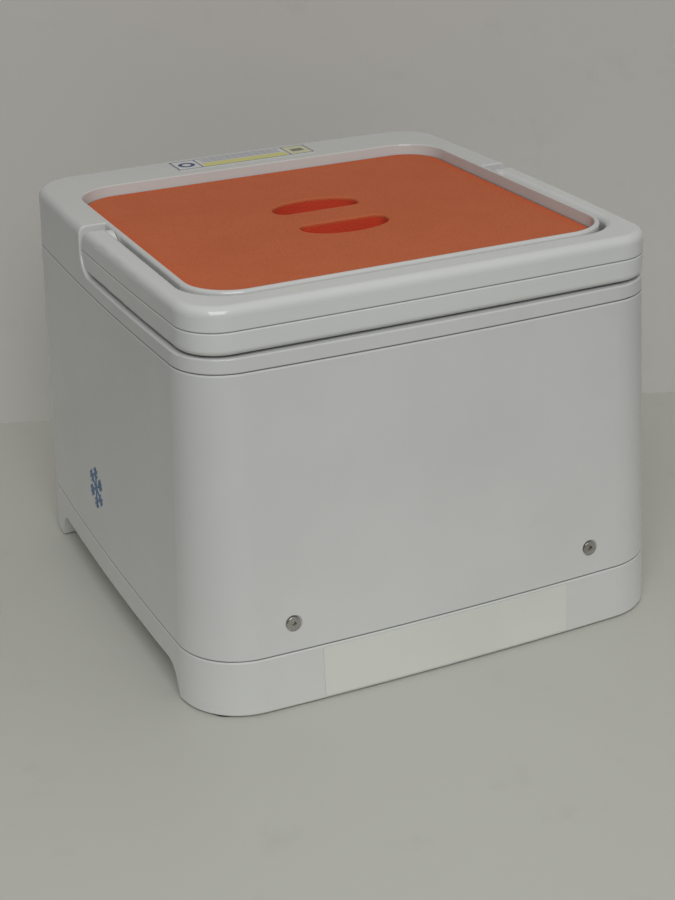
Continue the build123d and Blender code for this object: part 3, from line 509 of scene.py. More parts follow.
def add_bump(
    kit: Tree, shader: bpy.types.Node, height: bpy.types.NodeSocket, depth: float
) -> None:
    """Bends the shader's normal by a height.

    Args:
        kit: The material's tree.
        shader: The Principled shader.
        height: The height, about 0 to 1.
        depth: How deep 1 is, in metres.
    """
    bump = kit.add("ShaderNodeBump")
    bump.inputs["Strength"].default_value = 1.0
    bump.inputs["Distance"].default_value = depth
    kit.feed(bump.inputs["Height"], height)
    kit.feed(shader.inputs["Normal"], bump.outputs["Normal"])


@dataclass(frozen=True)
class PlasticFinish:
    """Moulded plastic with ripple, clouds, specks and scuffs, with painted shade and a painted
    highlight at its seams and painted shade in its recess.
    """

    name: str
    colour: Colour
    roughness: float = 0.28
    rough_span: Span = (0.9, 1.15)
    ripple: float = 0.5
    grain: float = 0.2
    depth: float = 0.06 * MM
    cloud: float = 0.05
    specks: float = 0.0
    speck_shade: float = 0.35
    scuffs: float = 0.0
    scuff_shade: float = 0.7
    scuff_cover: float = 0.25
    scuff_rough: float = 0.15
    # The next fields set the painted shade and painted highlight along the seams, and the painted
    # shade in the recess.
    painted_seam_shading: float = 0.0
    painted_seam_shade: float = 0.12
    painted_highlight_gain: float = 1.25
    seams: Span = (0.0, 0.0)
    seam_width: float = 0.6 * MM
    recess: Zone | None = None
    recess_shade: float = 0.5
    recess_blur: float = 0.02

    def build(self, effects: SharedEffects) -> bpy.types.Material:
        """Builds the material.

        Args:
            effects: The shared node groups.

        Returns:
            The material.
        """
        material, kit, shader = new_material(self.name)
        skin = kit.group(effects.skin, Ripple=self.ripple, Grain=self.grain)
        cloud = skin.outputs["Cloud"]
        colour = kit.mix(cloud, self.colour, shade(self.colour, 1.0 - self.cloud))
        smoothest, roughest = (self.roughness * share for share in self.rough_span)
        rough = kit.remap(cloud, 0.0, 1.0, smoothest, roughest)
        if self.specks or self.scuffs:
            marks = kit.group(effects.marks, Speck_Size=self.specks, Scuff_Share=self.scuffs)
            scuffs = marks.outputs["Scuffs"]
            colour = kit.mix(marks.outputs["Specks"], colour, shade(self.colour, self.speck_shade))
            cover = kit.math("MULTIPLY", scuffs, self.scuff_cover)
            colour = kit.mix(cover, colour, shade(self.colour, self.scuff_shade))
            rough = kit.math("ADD", rough, kit.math("MULTIPLY", scuffs, self.scuff_rough))
        # Painted shade along each seam, with a painted highlight on the edge below it.
        if self.painted_seam_shading:
            low, high = self.seams
            seams = kit.group(effects.seams, Low_Seam=low, High_Seam=high, Width=self.seam_width)
            painted_highlight = kit.math("MULTIPLY", seams.outputs["Painted Highlight"], self.painted_seam_shading)
            colour = kit.mix(painted_highlight, colour, shade(self.colour, self.painted_highlight_gain))
            painted_seam_shading = kit.math("MULTIPLY", seams.outputs["Painted Shade"], self.painted_seam_shading)
            colour = kit.mix(painted_seam_shading, colour, shade(self.colour, self.painted_seam_shade))
        # Painted shade at the foot of the mouth's inward walls, beside the lid.
        if self.recess:
            recess_shade_mask = self.mask_painted_recess_shade(kit, effects)
            colour = kit.mix(recess_shade_mask, colour, shade(self.colour, self.recess_shade))
        kit.feed(shader.inputs["Base Color"], colour)
        kit.feed(shader.inputs["Roughness"], rough)
        add_bump(kit, shader, skin.outputs["Height"], self.depth)
        return material

    def mask_painted_recess_shade(self, kit: Tree, effects: SharedEffects) -> bpy.types.NodeSocket:
        """Marks the painted shade in the recess, on the walls that face the object's middle.

        Args:
            kit: The material's tree.
            effects: The shared node groups.

        Returns:
            The mask.
        """
        facing = kit.add("ShaderNodeVectorMath", operation="DOT_PRODUCT")
        kit.feed(facing.inputs[0], kit.place())
        kit.feed(facing.inputs[1], kit.add("ShaderNodeTexCoord").outputs["Normal"])
        inward = kit.remap(facing.outputs["Value"], -self.recess_blur, 0.0, 1.0, 0.0)
        return kit.math("MULTIPLY", self.recess.mask(kit, effects), inward)


@dataclass(frozen=True)
class MetalFinish:
    """Plain metal with drawn lines and dull patches."""

    name: str
    colour: Colour
    roughness: float = 0.3
    along: Axis = Axis.Z
    rough_rise: float = 0.2
    line_scale: float = 4000.0
    line_stretch: float = 0.05
    line_depth: float = 0.01 * MM
    dull_scale: float = 150.0
    dull_shade: float = 0.72

    def build(self, effects: SharedEffects) -> bpy.types.Material:
        """Builds the material.

        Args:
            effects: The shared node groups.

        Returns:
            The material.
        """
        material, kit, shader = new_material(self.name)
        stretch = [1.0, 1.0, 1.0]
        stretch[self.along.value] = self.line_stretch
        lines = kit.noise(kit.place(tuple(stretch)), self.line_scale, detail=3.0)
        skin = kit.group(effects.skin, Cloud_Scale=self.dull_scale)
        colour = kit.mix(skin.outputs["Cloud"], self.colour, shade(self.colour, self.dull_shade))
        rough = kit.remap(lines, 0.3, 0.7, self.roughness, self.roughness + self.rough_rise)
        kit.feed(shader.inputs["Base Color"], colour)
        kit.feed(shader.inputs["Roughness"], rough)
        shader.inputs["Metallic"].default_value = 1.0
        add_bump(kit, shader, lines, self.line_depth)
        return material


@dataclass(frozen=True)
class FoamFinish:
    """Cut closed-cell foam, with a deeper colour in its hollows and a worn border."""

    name: str
    colour: Colour
    deep: Colour
    cell_scale: float = 900.0
    depth: float = 0.2 * MM
    tone_shade: float = 0.95
    pit_cover: float = 0.35
    rough_span: Span = (0.78, 0.9)
    specular: float = 0.15
    hollow: Zone | None = None
    hollow_colour: Colour = (0.52, 0.052, 0.022)
    border: Zone | None = None
    border_colour: Colour = (0.60, 0.10, 0.028)
    border_cover: float = 0.55
    border_width: float = 11.0 * MM

    def build(self, effects: SharedEffects) -> bpy.types.Material:
        """Builds the material.

        Args:
            effects: The shared node groups.

        Returns:
            The material.
        """
        material, kit, shader = new_material(self.name)
        cells = kit.group(effects.cells, Cell_Scale=self.cell_scale)
        tone = kit.mix(cells.outputs["Tone"], self.colour, shade(self.colour, self.tone_shade))
        pits = kit.math("MULTIPLY", cells.outputs["Pits"], self.pit_cover)
        colour = kit.mix(pits, tone, self.deep)
        if self.border:
            inside = self.border.lay_out(kit, effects).outputs["Inside"]
            worn = kit.remap(inside, 0.0, self.border_width, self.border_cover, 0.0)
            colour = kit.mix(worn, colour, self.border_colour)
        if self.hollow:
            colour = kit.mix(self.hollow.mask(kit, effects), colour, self.hollow_colour)
        rough = kit.remap(cells.outputs["Tone"], 0.0, 1.0, *self.rough_span)
        kit.feed(shader.inputs["Base Color"], colour)
        kit.feed(shader.inputs["Roughness"], rough)
        shader.inputs["Specular IOR Level"].default_value = self.specular
        add_bump(kit, shader, cells.outputs["Height"], self.depth)
        return material


@dataclass(frozen=True)
class RubberFinish:
    """Matt rubber or a soft key, with a fine tooth and wiped patches."""

    name: str
    colour: Colour
    roughness: float = 0.75
    rough_reach: float = 0.08
    wiped_shade: float = 1.25
    wiped_lift: float = 0.01
    depth: float = 0.08 * MM

    def build(self, effects: SharedEffects) -> bpy.types.Material:
        """Builds the material.

        Args:
            effects: The shared node groups.

        Returns:
            The material.
        """
        material, kit, shader = new_material(self.name)
        skin = kit.group(
            effects.skin,
            Ripple_Scale=400.0,
            Ripple=0.4,
            Grain_Scale=3500.0,
            Grain=0.6,
            Cloud_Scale=60.0,
        )
        cloud = skin.outputs["Cloud"]
        wiped = shade(self.colour, self.wiped_shade, self.wiped_lift)
        low, high = self.roughness - self.rough_reach, self.roughness + self.rough_reach
        kit.feed(shader.inputs["Base Color"], kit.mix(cloud, self.colour, wiped))
        kit.feed(shader.inputs["Roughness"], kit.remap(cloud, 0.0, 1.0, low, high))
        add_bump(kit, shader, skin.outputs["Height"], self.depth)
        return material


@dataclass(frozen=True)
class ClearFinish:
    """Clear or tinted window plastic with faint wiping marks."""

    name: str
    colour: Colour
    roughness: float = 0.06
    scuff_rough: float = 0.2
    refraction: float = 1.49

    def build(self, effects: SharedEffects) -> bpy.types.Material:
        """Builds the material.

        Args:
            effects: The shared node groups.

        Returns:
            The material.
        """
        material, kit, shader = new_material(self.name)
        marks = kit.group(effects.marks, Scuff_Share=0.9, Scuff_Scale=160.0)
        rough = kit.math("MULTIPLY", marks.outputs["Scuffs"], self.scuff_rough)
        shader.inputs["Base Color"].default_value = (*self.colour, 1.0)
        kit.feed(shader.inputs["Roughness"], kit.math("ADD", rough, self.roughness))
        shader.inputs["Transmission Weight"].default_value = 1.0
        shader.inputs["IOR"].default_value = self.refraction
        return material


class Print(Enum):
    """Ways to print a shape on a label."""

    FRAME = "frame"
    FIELD = "field"
    RING = "ring"


@dataclass(frozen=True)
class PrintedShape:
    """One printed rectangle or ring on a label, in metres."""

    x: float
    y: float
    half_x: float
    half_y: float
    line: float
    ink: Colour
    kind: Print = Print.FRAME


@dataclass(frozen=True)
class LabelFinish:
    """Blank label stock with plain printed shapes."""

    name: str
    colour: Colour
    shapes: tuple[PrintedShape, ...] = ()
    roughness: float = 0.42
    rough_reach: float = 0.05
    cloud_shade: float = 0.96
    depth: float = 0.05 * MM

    def build(self, effects: SharedEffects) -> bpy.types.Material:
        """Builds the material.

        Args:
            effects: The shared node groups.

        Returns:
            The material.
        """
        material, kit, shader = new_material(self.name)
        skin = kit.group(
            effects.skin, Ripple_Scale=45.0, Ripple=0.8, Grain_Scale=2600.0, Grain=0.1
        )
        cloud = skin.outputs["Cloud"]
        colour = kit.mix(cloud, self.colour, shade(self.colour, self.cloud_shade))
        for shape in self.shapes:
            mask = kit.group(
                effects.printed,
                Centre_X=shape.x,
                Centre_Y=shape.y,
                Half_X=shape.half_x,
                Half_Y=shape.half_y,
                Line=shape.line,
                Round=float(shape.kind is Print.RING),
            )
            shown = "Field" if shape.kind is Print.FIELD else "Outline"
            colour = kit.mix(mask.outputs[shown], colour, shape.ink)
        low, high = self.roughness - self.rough_reach, self.roughness + self.rough_reach
        kit.feed(shader.inputs["Base Color"], colour)
        kit.feed(shader.inputs["Roughness"], kit.remap(cloud, 0.0, 1.0, low, high))
        add_bump(kit, shader, skin.outputs["Height"], self.depth)
        return material


Finish = PlasticFinish | MetalFinish | FoamFinish | RubberFinish | ClearFinish | LabelFinish


# Modelling by hand


@dataclass(frozen=True)
class Box:
    """A node's box, from its lowest to its highest corner."""

    low: Vector
    high: Vector

    @property
    def centre(self) -> Vector:
        """Its middle."""
        return (self.low + self.high) / 2

    @property
    def half(self) -> Vector:
        """Half its size."""
        return (self.high - self.low) / 2


def clear_selection() -> None:
    """Leaves edit mode and deselects everything."""
    if bpy.context.object and bpy.context.object.mode != "OBJECT":
        bpy.ops.object.mode_set(mode="OBJECT")
    bpy.ops.object.select_all(action="DESELECT")


def make_active(piece: bpy.types.Object) -> None:
    """Selects one object alone and makes it active.

    Args:
        piece: The object.
    """
    clear_selection()
    piece.select_set(True)
    bpy.context.view_layer.objects.active = piece


def settle(piece: bpy.types.Object) -> None:
    """Puts a piece's place, turn and scale into its mesh."""
    make_active(piece)
    bpy.ops.object.transform_apply(location=True, rotation=True, scale=True)


def apply_all(piece: bpy.types.Object) -> None:
    """Applies a piece's modifiers in order.

    Args:
        piece: The piece.
    """
    make_active(piece)
    for name in [modifier.name for modifier in piece.modifiers]:
        bpy.ops.object.modifier_apply(modifier=name)


def lies_at(ends: list[Vector], axis: Axis, value: float) -> bool:
    """Tells whether an edge's ends all have one value on an axis."""
    return all(abs(end[axis.value] - value) < SAME_PLACE for end in ends)


def stands(ends: list[Vector]) -> bool:
    """Tells whether an edge is upright."""
    return lies_at(ends, Axis.X, ends[0].x) and lies_at(ends, Axis.Y, ends[0].y)


def pick_edges(piece: bpy.types.Object, test: EdgeTest) -> None:
    """Selects edges by their place, and leaves the piece in edit mode.

    Args:
        piece: The piece.
        test: A function of an edge's ends that says whether to take it.
    """
    make_active(piece)
    bpy.ops.object.mode_set(mode="EDIT")
    bpy.ops.mesh.select_mode(type="EDGE")
    bpy.ops.mesh.select_all(action="DESELECT")
    bpy.ops.object.mode_set(mode="OBJECT")
    mesh = piece.data
    for edge in mesh.edges:
        if test([mesh.vertices[i].co for i in edge.vertices]):
            edge.select = True
    bpy.ops.object.mode_set(mode="EDIT")


def round_edges(piece: bpy.types.Object, test: EdgeTest, size: float, steps: int) -> None:
    """Rounds edges that a test takes.

    Args:
        piece: The piece.
        test: A function of an edge's ends that says whether to take it.
        size: The round's size.
        steps: How many steps it has.
    """
    pick_edges(piece, test)
    bpy.ops.mesh.bevel(offset=size, segments=steps, affect="EDGES", offset_type="OFFSET")
    bpy.ops.object.mode_set(mode="OBJECT")


def add_block(centre: Triple, size: Triple) -> bpy.types.Object:
    """Adds a block.

    Args:
        centre: Its middle.
        size: Its width, depth and height.

    Returns:
        The block.
    """
    clear_selection()
    bpy.ops.mesh.primitive_cube_add(size=1.0, location=centre)
    block = bpy.context.object
    block.scale = size
    settle(block)
    return block


def rounded_slab(
    name: str, centre: Vector, half: Vector, corner: float, low: float, high: float
) -> bpy.types.Object:
    """Models an upright slab with round corners in plan.

    Args:
        name: The piece's name.
        centre: The plan's centre.
        half: Half its width and depth.
        corner: The corners' radius.
        low: Its lowest height.
        high: Its highest height.

    Returns:
        The slab.
    """
    middle = (centre.x, centre.y, (low + high) / 2)
    piece = add_block(middle, (2 * half.x, 2 * half.y, high - low))
    piece.name = name
    round_edges(piece, stands, corner, steps=14)
    return piece


def combine(piece: bpy.types.Object, tool: bpy.types.Object, way: Joining) -> None:
    """Cuts a piece with another solid or adds it, and removes that solid.

    Args:
        piece: The piece to change.
        tool: The other solid.
        way: How they are put together.
    """
    change = piece.modifiers.new("combine", "BOOLEAN")
    change.operation = way.value
    change.solver = "EXACT"
    change.object = tool
    apply_all(piece)
    bpy.data.objects.remove(tool)


def smooth(piece: bpy.types.Object, angle: float = 35.0) -> None:
    """Shades a piece smoothly where its faces meet at less than an angle, in degrees."""
    make_active(piece)
    bpy.ops.object.shade_smooth_by_angle(angle=math.radians(angle))


def finish_piece(
    piece: bpy.types.Object, body: str, material: bpy.types.Material
) -> None:
    """Gives a new piece its body and material, and reports it.

    Args:
        piece: The piece, in place.
        body: The body that it rides on.
        material: Its material.
    """
    settle(piece)
    piece.data.materials.clear()
    piece.data.materials.append(material)
    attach(piece, body)
    log.info("%s rides on %s, %d faces", piece.name, body, len(piece.data.polygons))


# The object's own parts


@dataclass
class PaintedGroup:
    """A sub-assembly whose nodes keep the frame's own shapes and are painted."""

    effects: SharedEffects

    def paint(self, finish: Finish, *nodes: str) -> None:
        """Gives nodes of the frame one finish, and reports them.

        Args:
            finish: The finish.
            nodes: The nodes' names.
        """
        material = finish.build(self.effects)
        for node in nodes:
            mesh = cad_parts[node].data
            mesh.materials.clear()
            mesh.materials.append(material)
            log.info("%s is finished in %s", node, material.name)


@dataclass
class Housing(PaintedGroup):
    """Tray, shell, cover and what is fixed to their outside."""

    seams: Span = (34.0 * MM, 195.0 * MM)
    mouth_reach: float = 2.2 * MM
    mouth_foot: Span = (2.4 * MM, 1.9 * MM)
    mouth_head: Span = (1.2 * MM, 0.2 * MM)
    label_inset: float = 0.3 * MM
    label_gap: float = 1.6 * MM
    frame_line: float = 0.9 * MM
    cell_line: float = 0.8 * MM
    ring_line: float = 2.6 * MM

    def dress(self) -> None:
        """Paints the housing's nodes."""
        body = PlasticFinish(
            "case_plastic",
            CASE_WHITE,
            0.10,
            cloud=0.045,
            specks=0.02,
            scuffs=0.5,
            # Painted shade and a painted highlight along the seams, and painted shade at the
            # mouth's foot.
            painted_seam_shading=0.85,
            seams=self.seams,
            seam_width=0.8 * MM,
            recess=self.find_mouth_foot(),
        )
        steel = MetalFinish("screw_steel", (0.52, 0.51, 0.48), 0.16, Axis.Y)
        mark = PlasticFinish("mark_ink", (0.05, 0.13, 0.26), 0.4, ripple=0.1, grain=0.3)
        self.paint(body, "base_tray", "body_shell", "top_cover")
        self.paint(steel, "case_screws", "cover_screws")
        self.paint(RubberFinish("foot_rubber", (0.035, 0.035, 0.036)), "rubber_feet")
        self.paint(mark, "side_mark")
        self.paint(LabelFinish("plate_stock", (0.60, 0.612, 0.575)), "rating_plate")
        strip = LabelFinish("strip_stock", (0.60, 0.61, 0.59), self.draw_deck_label())
        self.paint(strip, "deck_label")

    def find_mouth_foot(self) -> Zone:
        """Finds the foot of the mouth's walls beside the lid, where shade is painted.

        Returns:
            The zone.
        """
        lid = Box(*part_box("foam_lid"))
        return Zone(
            centre=(0.0, lid.centre.y),
            half=(lid.half.x + self.mouth_reach, lid.half.y + self.mouth_reach),
            foot=tuple(lid.high.z - drop for drop in self.mouth_foot),
            head=tuple(lid.high.z - drop for drop in self.mouth_head),
        )

    def draw_deck_label(self) -> tuple[PrintedShape, ...]:
        """Draws the strip's frame, two cells, plain ring, pale band and ruled lines.

        Returns:
            The shapes, the lowest first.
        """
        strip = Box(*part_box("deck_label"))
        x, y, half = strip.centre.x, strip.centre.y, strip.half
        blue, navy, violet = (0.06, 0.07, 0.15), (0.03, 0.055, 0.17), (0.25, 0.24, 0.33)
        yellow, pale, olive = (0.60, 0.57, 0.20), (0.58, 0.57, 0.38), (0.17, 0.18, 0.12)
        dark = (0.10, 0.11, 0.13)
        cell, side = half.y * 0.9, half.y * 0.72
        left = strip.low.x + side + self.label_inset
        right = strip.high.x - side - self.label_inset
        band = half.x - 2 * side - self.label_gap
        ruled = tuple(
            PrintedShape(
                x, y + half.y * rise, band * 0.94, half.y * 0.055, 0.0, violet, Print.FIELD
            )
            for rise in (0.12, 0.37, 0.62)
        )
        return (
            PrintedShape(x, y - half.y * 0.45, band, half.y * 0.36, 0.0, yellow, Print.FIELD),
            *ruled,
            PrintedShape(right, y, side, cell, 0.0, pale, Print.FIELD),
            PrintedShape(right, y, side * 0.5, cell * 0.32, 0.0, olive, Print.FIELD),
            PrintedShape(x, y, half.x - self.label_inset, cell, self.frame_line, dark),
            PrintedShape(left, y, side, cell, self.cell_line, blue),
            PrintedShape(right, y, side, cell, self.cell_line, blue),
            PrintedShape(left, y, side * 0.66, 0.0, self.ring_line, navy, Print.RING),
        )


@dataclass
class CarryHandle(PaintedGroup):
    """Bail handle, its pins, bushes and rests."""

    white: Colour = (0.61, 0.62, 0.61)
    parting: float = 217.0 * MM

    def dress(self) -> None:
        """Paints the handle's nodes."""
        grip = PlasticFinish(
            "handle_plastic",
            self.white,
            0.12,
            cloud=0.04,
            specks=0.012,
            scuffs=0.7,
            # Painted shade and a painted highlight along the handle's parting line.
            painted_seam_shading=0.7,
            seams=(self.parting, self.parting),
        )
        screws = MetalFinish("small_screw_steel", (0.42, 0.42, 0.42), 0.35)
        pins = MetalFinish("pin_steel", (0.55, 0.55, 0.55), 0.25, Axis.X)
        self.paint(grip, "handle_upper", "handle_lower")
        self.paint(screws, "handle_screws")
        self.paint(pins, "pivot_pins")
        self.paint(PlasticFinish("bush_plastic", (0.55, 0.53, 0.47), 0.5), "pivot_bushes")
        self.paint(RubberFinish("rest_rubber", (0.07, 0.07, 0.07)), "handle_bumpers")


@dataclass
class FoamLid:
    """Orange foam lid with two finger slots, and the plug under it."""

    effects: SharedEffects
    orange: Colour = (0.52, 0.134, 0.055)
    deep_orange: Colour = (0.38, 0.070, 0.025)
    slot_length: float = 53.5 * MM
    slot_width: float = 24.5 * MM
    slot_straight: float = 9.0 * MM
    slot_corner: float = 6.5 * MM
    slot_depth: float = 18.0 * MM
    slot_bridge: float = 25.0 * MM
    slot_shift: float = 4.75 * MM
    slot_side: float = 2.8 * MM
    slot_rim: float = 0.9 * MM
    slots_reach: float = 45.0 * MM
    slots_foot: Span = (0.6 * MM, 0.1 * MM)
    slots_head: Span = (2.2 * MM, 0.6 * MM)
    flange: float = 5.0 * MM
    flange_height: float = 2.4 * MM
    corner: float = 24.5 * MM
    edge: float = 2.1 * MM
    plug_corner: float = 11.0 * MM
    plug_edge: float = 2.0 * MM
    smooth_angle: float = 40.0

    def make_slot_cutter(self, y: float, side: int, top: float) -> bpy.types.Object:
        """Models one finger slot as a solid to cut with: a flat side and an arch away from it.

        Args:
            y: Where its flat side lies, towards the bridge.
            side: The sign of the way that it opens.
            top: The lid's top.

        Returns:
            The cutter.
        """
        spare, far = 10.0 * MM, 1.0
        depth = self.slot_depth + spare
        level = top + spare - depth / 2
        clear_selection()
        bpy.ops.mesh.primitive_cylinder_add(vertices=128, radius=1.0, depth=depth)
        arch = bpy.context.object
        arch.scale = (self.slot_length / 2, self.slot_width - self.slot_straight, 1.0)
        arch.location = (self.slot_side, y + side * self.slot_straight, level)
        settle(arch)
        flat = add_block(
            (self.slot_side, y + side * self.slot_straight / 2, level),
            (self.slot_length, self.slot_straight, depth),
        )
        round_edges(
            flat,
            lambda ends: stands(ends) and lies_at(ends, Axis.Y, y),
            self.slot_corner,
            steps=12,
        )
        near_half = add_block(
            (0.0, y + side * (self.slot_straight - far), level), (far, 2 * far, depth + 2 * spare)
        )
        combine(arch, near_half, Joining.CUT)
        combine(arch, flat, Joining.ADD)
        make_active(arch)
        bpy.ops.object.mode_set(mode="EDIT")
        bpy.ops.mesh.select_all(action="SELECT")
        bpy.ops.mesh.remove_doubles(threshold=SAME_PLACE)
        bpy.ops.mesh.dissolve_limited(angle_limit=math.radians(0.5))
        bpy.ops.object.mode_set(mode="OBJECT")
        return arch

    def make_slab(self) -> bpy.types.Object:
        """Models the slab with the flange round its top, and cuts its two slots.

        Returns:
            The slab.
        """
        lid = Box(*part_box("foam_lid"))
        centre, half, top = lid.centre, lid.half, lid.high.z
        slab = rounded_slab("lid_foam", centre, half, self.corner, top - self.flange_height, top)
        round_edges(slab, lambda ends: lies_at(ends, Axis.Z, top), self.edge, steps=6)
        core = rounded_slab(
            "lid_core",
            centre,
            half - Vector((self.flange, self.flange, 0.0)),
            self.corner - self.flange,
            lid.low.z,
            top - self.flange_height / 2,
        )
        combine(slab, core, Joining.ADD)
        for side in (-1, 1):
            flat = centre.y + self.slot_shift + side * self.slot_bridge / 2
            combine(slab, self.make_slot_cutter(flat, side, top), Joining.CUT)
        self.soften_slots(slab, centre, top)
        smooth(slab, self.smooth_angle)
        pick_edges(slab, lambda ends: lies_at(ends, Axis.Z, top))
        bpy.ops.mesh.mark_sharp()
        bpy.ops.object.mode_set(mode="OBJECT")
        return slab

    def soften_slots(self, slab: bpy.types.Object, centre: Vector, top: float) -> None:
        """Rounds the slots' upper rims.

        Args:
            slab: The cut slab.
            centre: The slab's centre.
            top: The slab's top.
        """
        reach_x, reach_y = 40.0 * MM, 50.0 * MM

        def on_slot(ends: list[Vector]) -> bool:
            """Tells whether an edge lies on the lid's top, near the slots."""
            near = all(abs(end.x) < reach_x and abs(end.y - centre.y) < reach_y for end in ends)
            return near and lies_at(ends, Axis.Z, top)

        round_edges(slab, on_slot, self.slot_rim, steps=3)

    def make_plug(self) -> bpy.types.Object:
        """Models the plug under the lid.

        Returns:
            The plug.
        """
        box = Box(*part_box("lid_plug"))
        foot, head = box.low.z, box.high.z
        plug = rounded_slab("plug_foam", box.centre, box.half, self.plug_corner, foot, head)
        round_edges(plug, lambda ends: lies_at(ends, Axis.Z, foot), self.plug_edge, steps=3)
        smooth(plug)
        return plug

    def make_finish(self) -> FoamFinish:
        """Makes the orange foam's finish, deeper in the slots and worn round the lid's border.

        Returns:
            The finish.
        """
        lid = Box(*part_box("foam_lid"))
        top, floor = lid.high.z, lid.high.z - self.slot_depth
        slots = Zone(
            centre=(0.0, lid.centre.y),
            half=(self.slots_reach, self.slots_reach),
            foot=tuple(floor - drop for drop in self.slots_foot),
            head=tuple(top - drop for drop in self.slots_head),
        )
        border = Zone((lid.centre.x, lid.centre.y), (lid.half.x, lid.half.y))
        return FoamFinish(
            "lid_foam_skin", self.orange, self.deep_orange, hollow=slots, border=border
        )

    def build(self) -> None:
        """Builds and dresses the lid and its plug."""
        orange = self.make_finish().build(self.effects)
        slab = self.make_slab()
        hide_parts("foam_lid")
        finish_piece(slab, "lid", orange)
        plug = self.make_plug()
        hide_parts("lid_plug")
        finish_piece(plug, "lid", orange)


@dataclass
class ColdVessel(PaintedGroup):
    """Vessel, seal, insulation, rack and temperature probe."""

    def dress(self) -> None:
        """Paints the vessel's nodes."""
        liner = PlasticFinish("liner_plastic", (0.60, 0.61, 0.62), 0.4, cloud=0.03)
        rack = PlasticFinish("rack_plastic", (0.52, 0.54, 0.56), 0.45)
        block = FoamFinish("block_foam", (0.62, 0.60, 0.52), (0.45, 0.43, 0.36), 600.0)
        sheath = MetalFinish("sheath_steel", (0.55, 0.55, 0.55), 0.22, Axis.Y)
        black = PlasticFinish("black_plastic", (0.025, 0.025, 0.027), 0.45, ripple=0.2, grain=0.5)
        self.paint(liner, "vessel_liner")
        self.paint(rack, "payload_tray")
        self.paint(RubberFinish("seal_rubber", (0.12, 0.12, 0.13)), "mouth_gasket")
        self.paint(block, "insulation_walls", "insulation_floor")
        self.paint(sheath, "probe_sheath")
        self.paint(black, "probe_gland", "lead_clip")
        self.paint(RubberFinish("lead_rubber", (0.045, 0.045, 0.05), 0.6), "probe_lead")


@dataclass
class ControlPanel(PaintedGroup):
    """Temperature monitor on the far wall."""

    def dress(self) -> None:
        """Paints the panel's nodes."""
        fascia = PlasticFinish(
            "fascia_plastic", (0.10, 0.11, 0.125), 0.5, ripple=0.1, grain=0.9, depth=0.08 * MM
        )
        window = ClearFinish("window_plastic", (0.93, 0.96, 0.96))
        face = PlasticFinish("display_face", (0.26, 0.31, 0.24), 0.3, ripple=0.1)
        board = PlasticFinish("board_laminate", (0.02, 0.14, 0.06), 0.4)
        black = PlasticFinish("component_black", (0.02, 0.02, 0.022), 0.5, ripple=0.2, grain=0.6)
        nylon = PlasticFinish("connector_nylon", (0.6, 0.58, 0.5), 0.5)
        keys = RubberFinish("key_rubber", (0.38, 0.39, 0.40), 0.6)
        steel = MetalFinish("board_steel", (0.5, 0.5, 0.5), 0.3)
        self.paint(fascia, "control_fascia")
        self.paint(window, "display_window")
        self.paint(face, "display_module")
        self.paint(board, "circuit_board")
        self.paint(black, "board_spacers", "key_switches", "buzzer")
        self.paint(steel, "board_screws", "data_port", "port_pin")
        self.paint(nylon, "board_connectors")
        self.paint(keys, "key_power", "key_alarm", "key_probe")
        self.paint(ClearFinish("light_lens", (0.35, 0.85, 0.4), 0.15), "status_light")
        self.paint(RubberFinish("cover_rubber", (0.06, 0.06, 0.065)), "port_cover")


@dataclass
class BatteryBay(PaintedGroup):
    """Cells, their box, contacts, lead and door."""

    def dress(self) -> None:
        """Paints the bay's nodes."""
        box = PlasticFinish("bay_plastic", (0.03, 0.03, 0.032), 0.5, ripple=0.2, grain=0.6)
        sleeve = PlasticFinish("cell_sleeve", (0.06, 0.10, 0.13), 0.25, grain=0.05)
        contacts = MetalFinish("contact_plate", (0.60, 0.57, 0.48), 0.25)
        lead = RubberFinish("power_lead_rubber", (0.045, 0.045, 0.05), 0.6)
        door = PlasticFinish(
            "door_plastic", CASE_WHITE, 0.16, cloud=0.04, specks=0.012, scuffs=0.5
        )
        self.paint(box, "battery_box")
        self.paint(sleeve, "battery_cells")
        self.paint(contacts, "battery_contacts")
        self.paint(lead, "battery_lead")
        self.paint(door, "battery_door")


# Camera, room and light


@dataclass(frozen=True)
class PhotoCamera:
    """The photograph's camera, as fitted to the case's edges, in metres, radians and pixels."""

    place: Triple = (-0.3862112, -0.8733966, 0.49945)
    yaw: float = 0.4204
    pitch: float = 0.4207
    roll: float = -0.0323
    focal: float = 1678.7042
    long_side: float = 900.0
    sensor: float = 36.0
    clip: Span = (0.05, 50.0)

    def build(self) -> None:
        """Makes the camera."""
        across = math.cos(self.pitch)
        ahead = Vector(
            (math.sin(self.yaw) * across, math.cos(self.yaw) * across, -math.sin(self.pitch))
        )
        right = Vector((math.cos(self.yaw), -math.sin(self.yaw), 0.0))
        above = right.cross(ahead)
        turned = right * math.cos(self.roll) + above * math.sin(self.roll)
        upward = above * math.cos(self.roll) - right * math.sin(self.roll)
        data = bpy.data.cameras.new("photo_camera")
        data.sensor_width = self.sensor
        data.lens = self.focal * self.sensor / self.long_side
        data.clip_start, data.clip_end = self.clip
        camera = bpy.data.objects.new("photo_camera", data)
        bpy.context.scene.collection.objects.link(camera)
        columns = Matrix((turned, upward, -ahead)).transposed()
        camera.matrix_world = Matrix.Translation(self.place) @ columns.to_4x4()
        bpy.context.scene.camera = camera


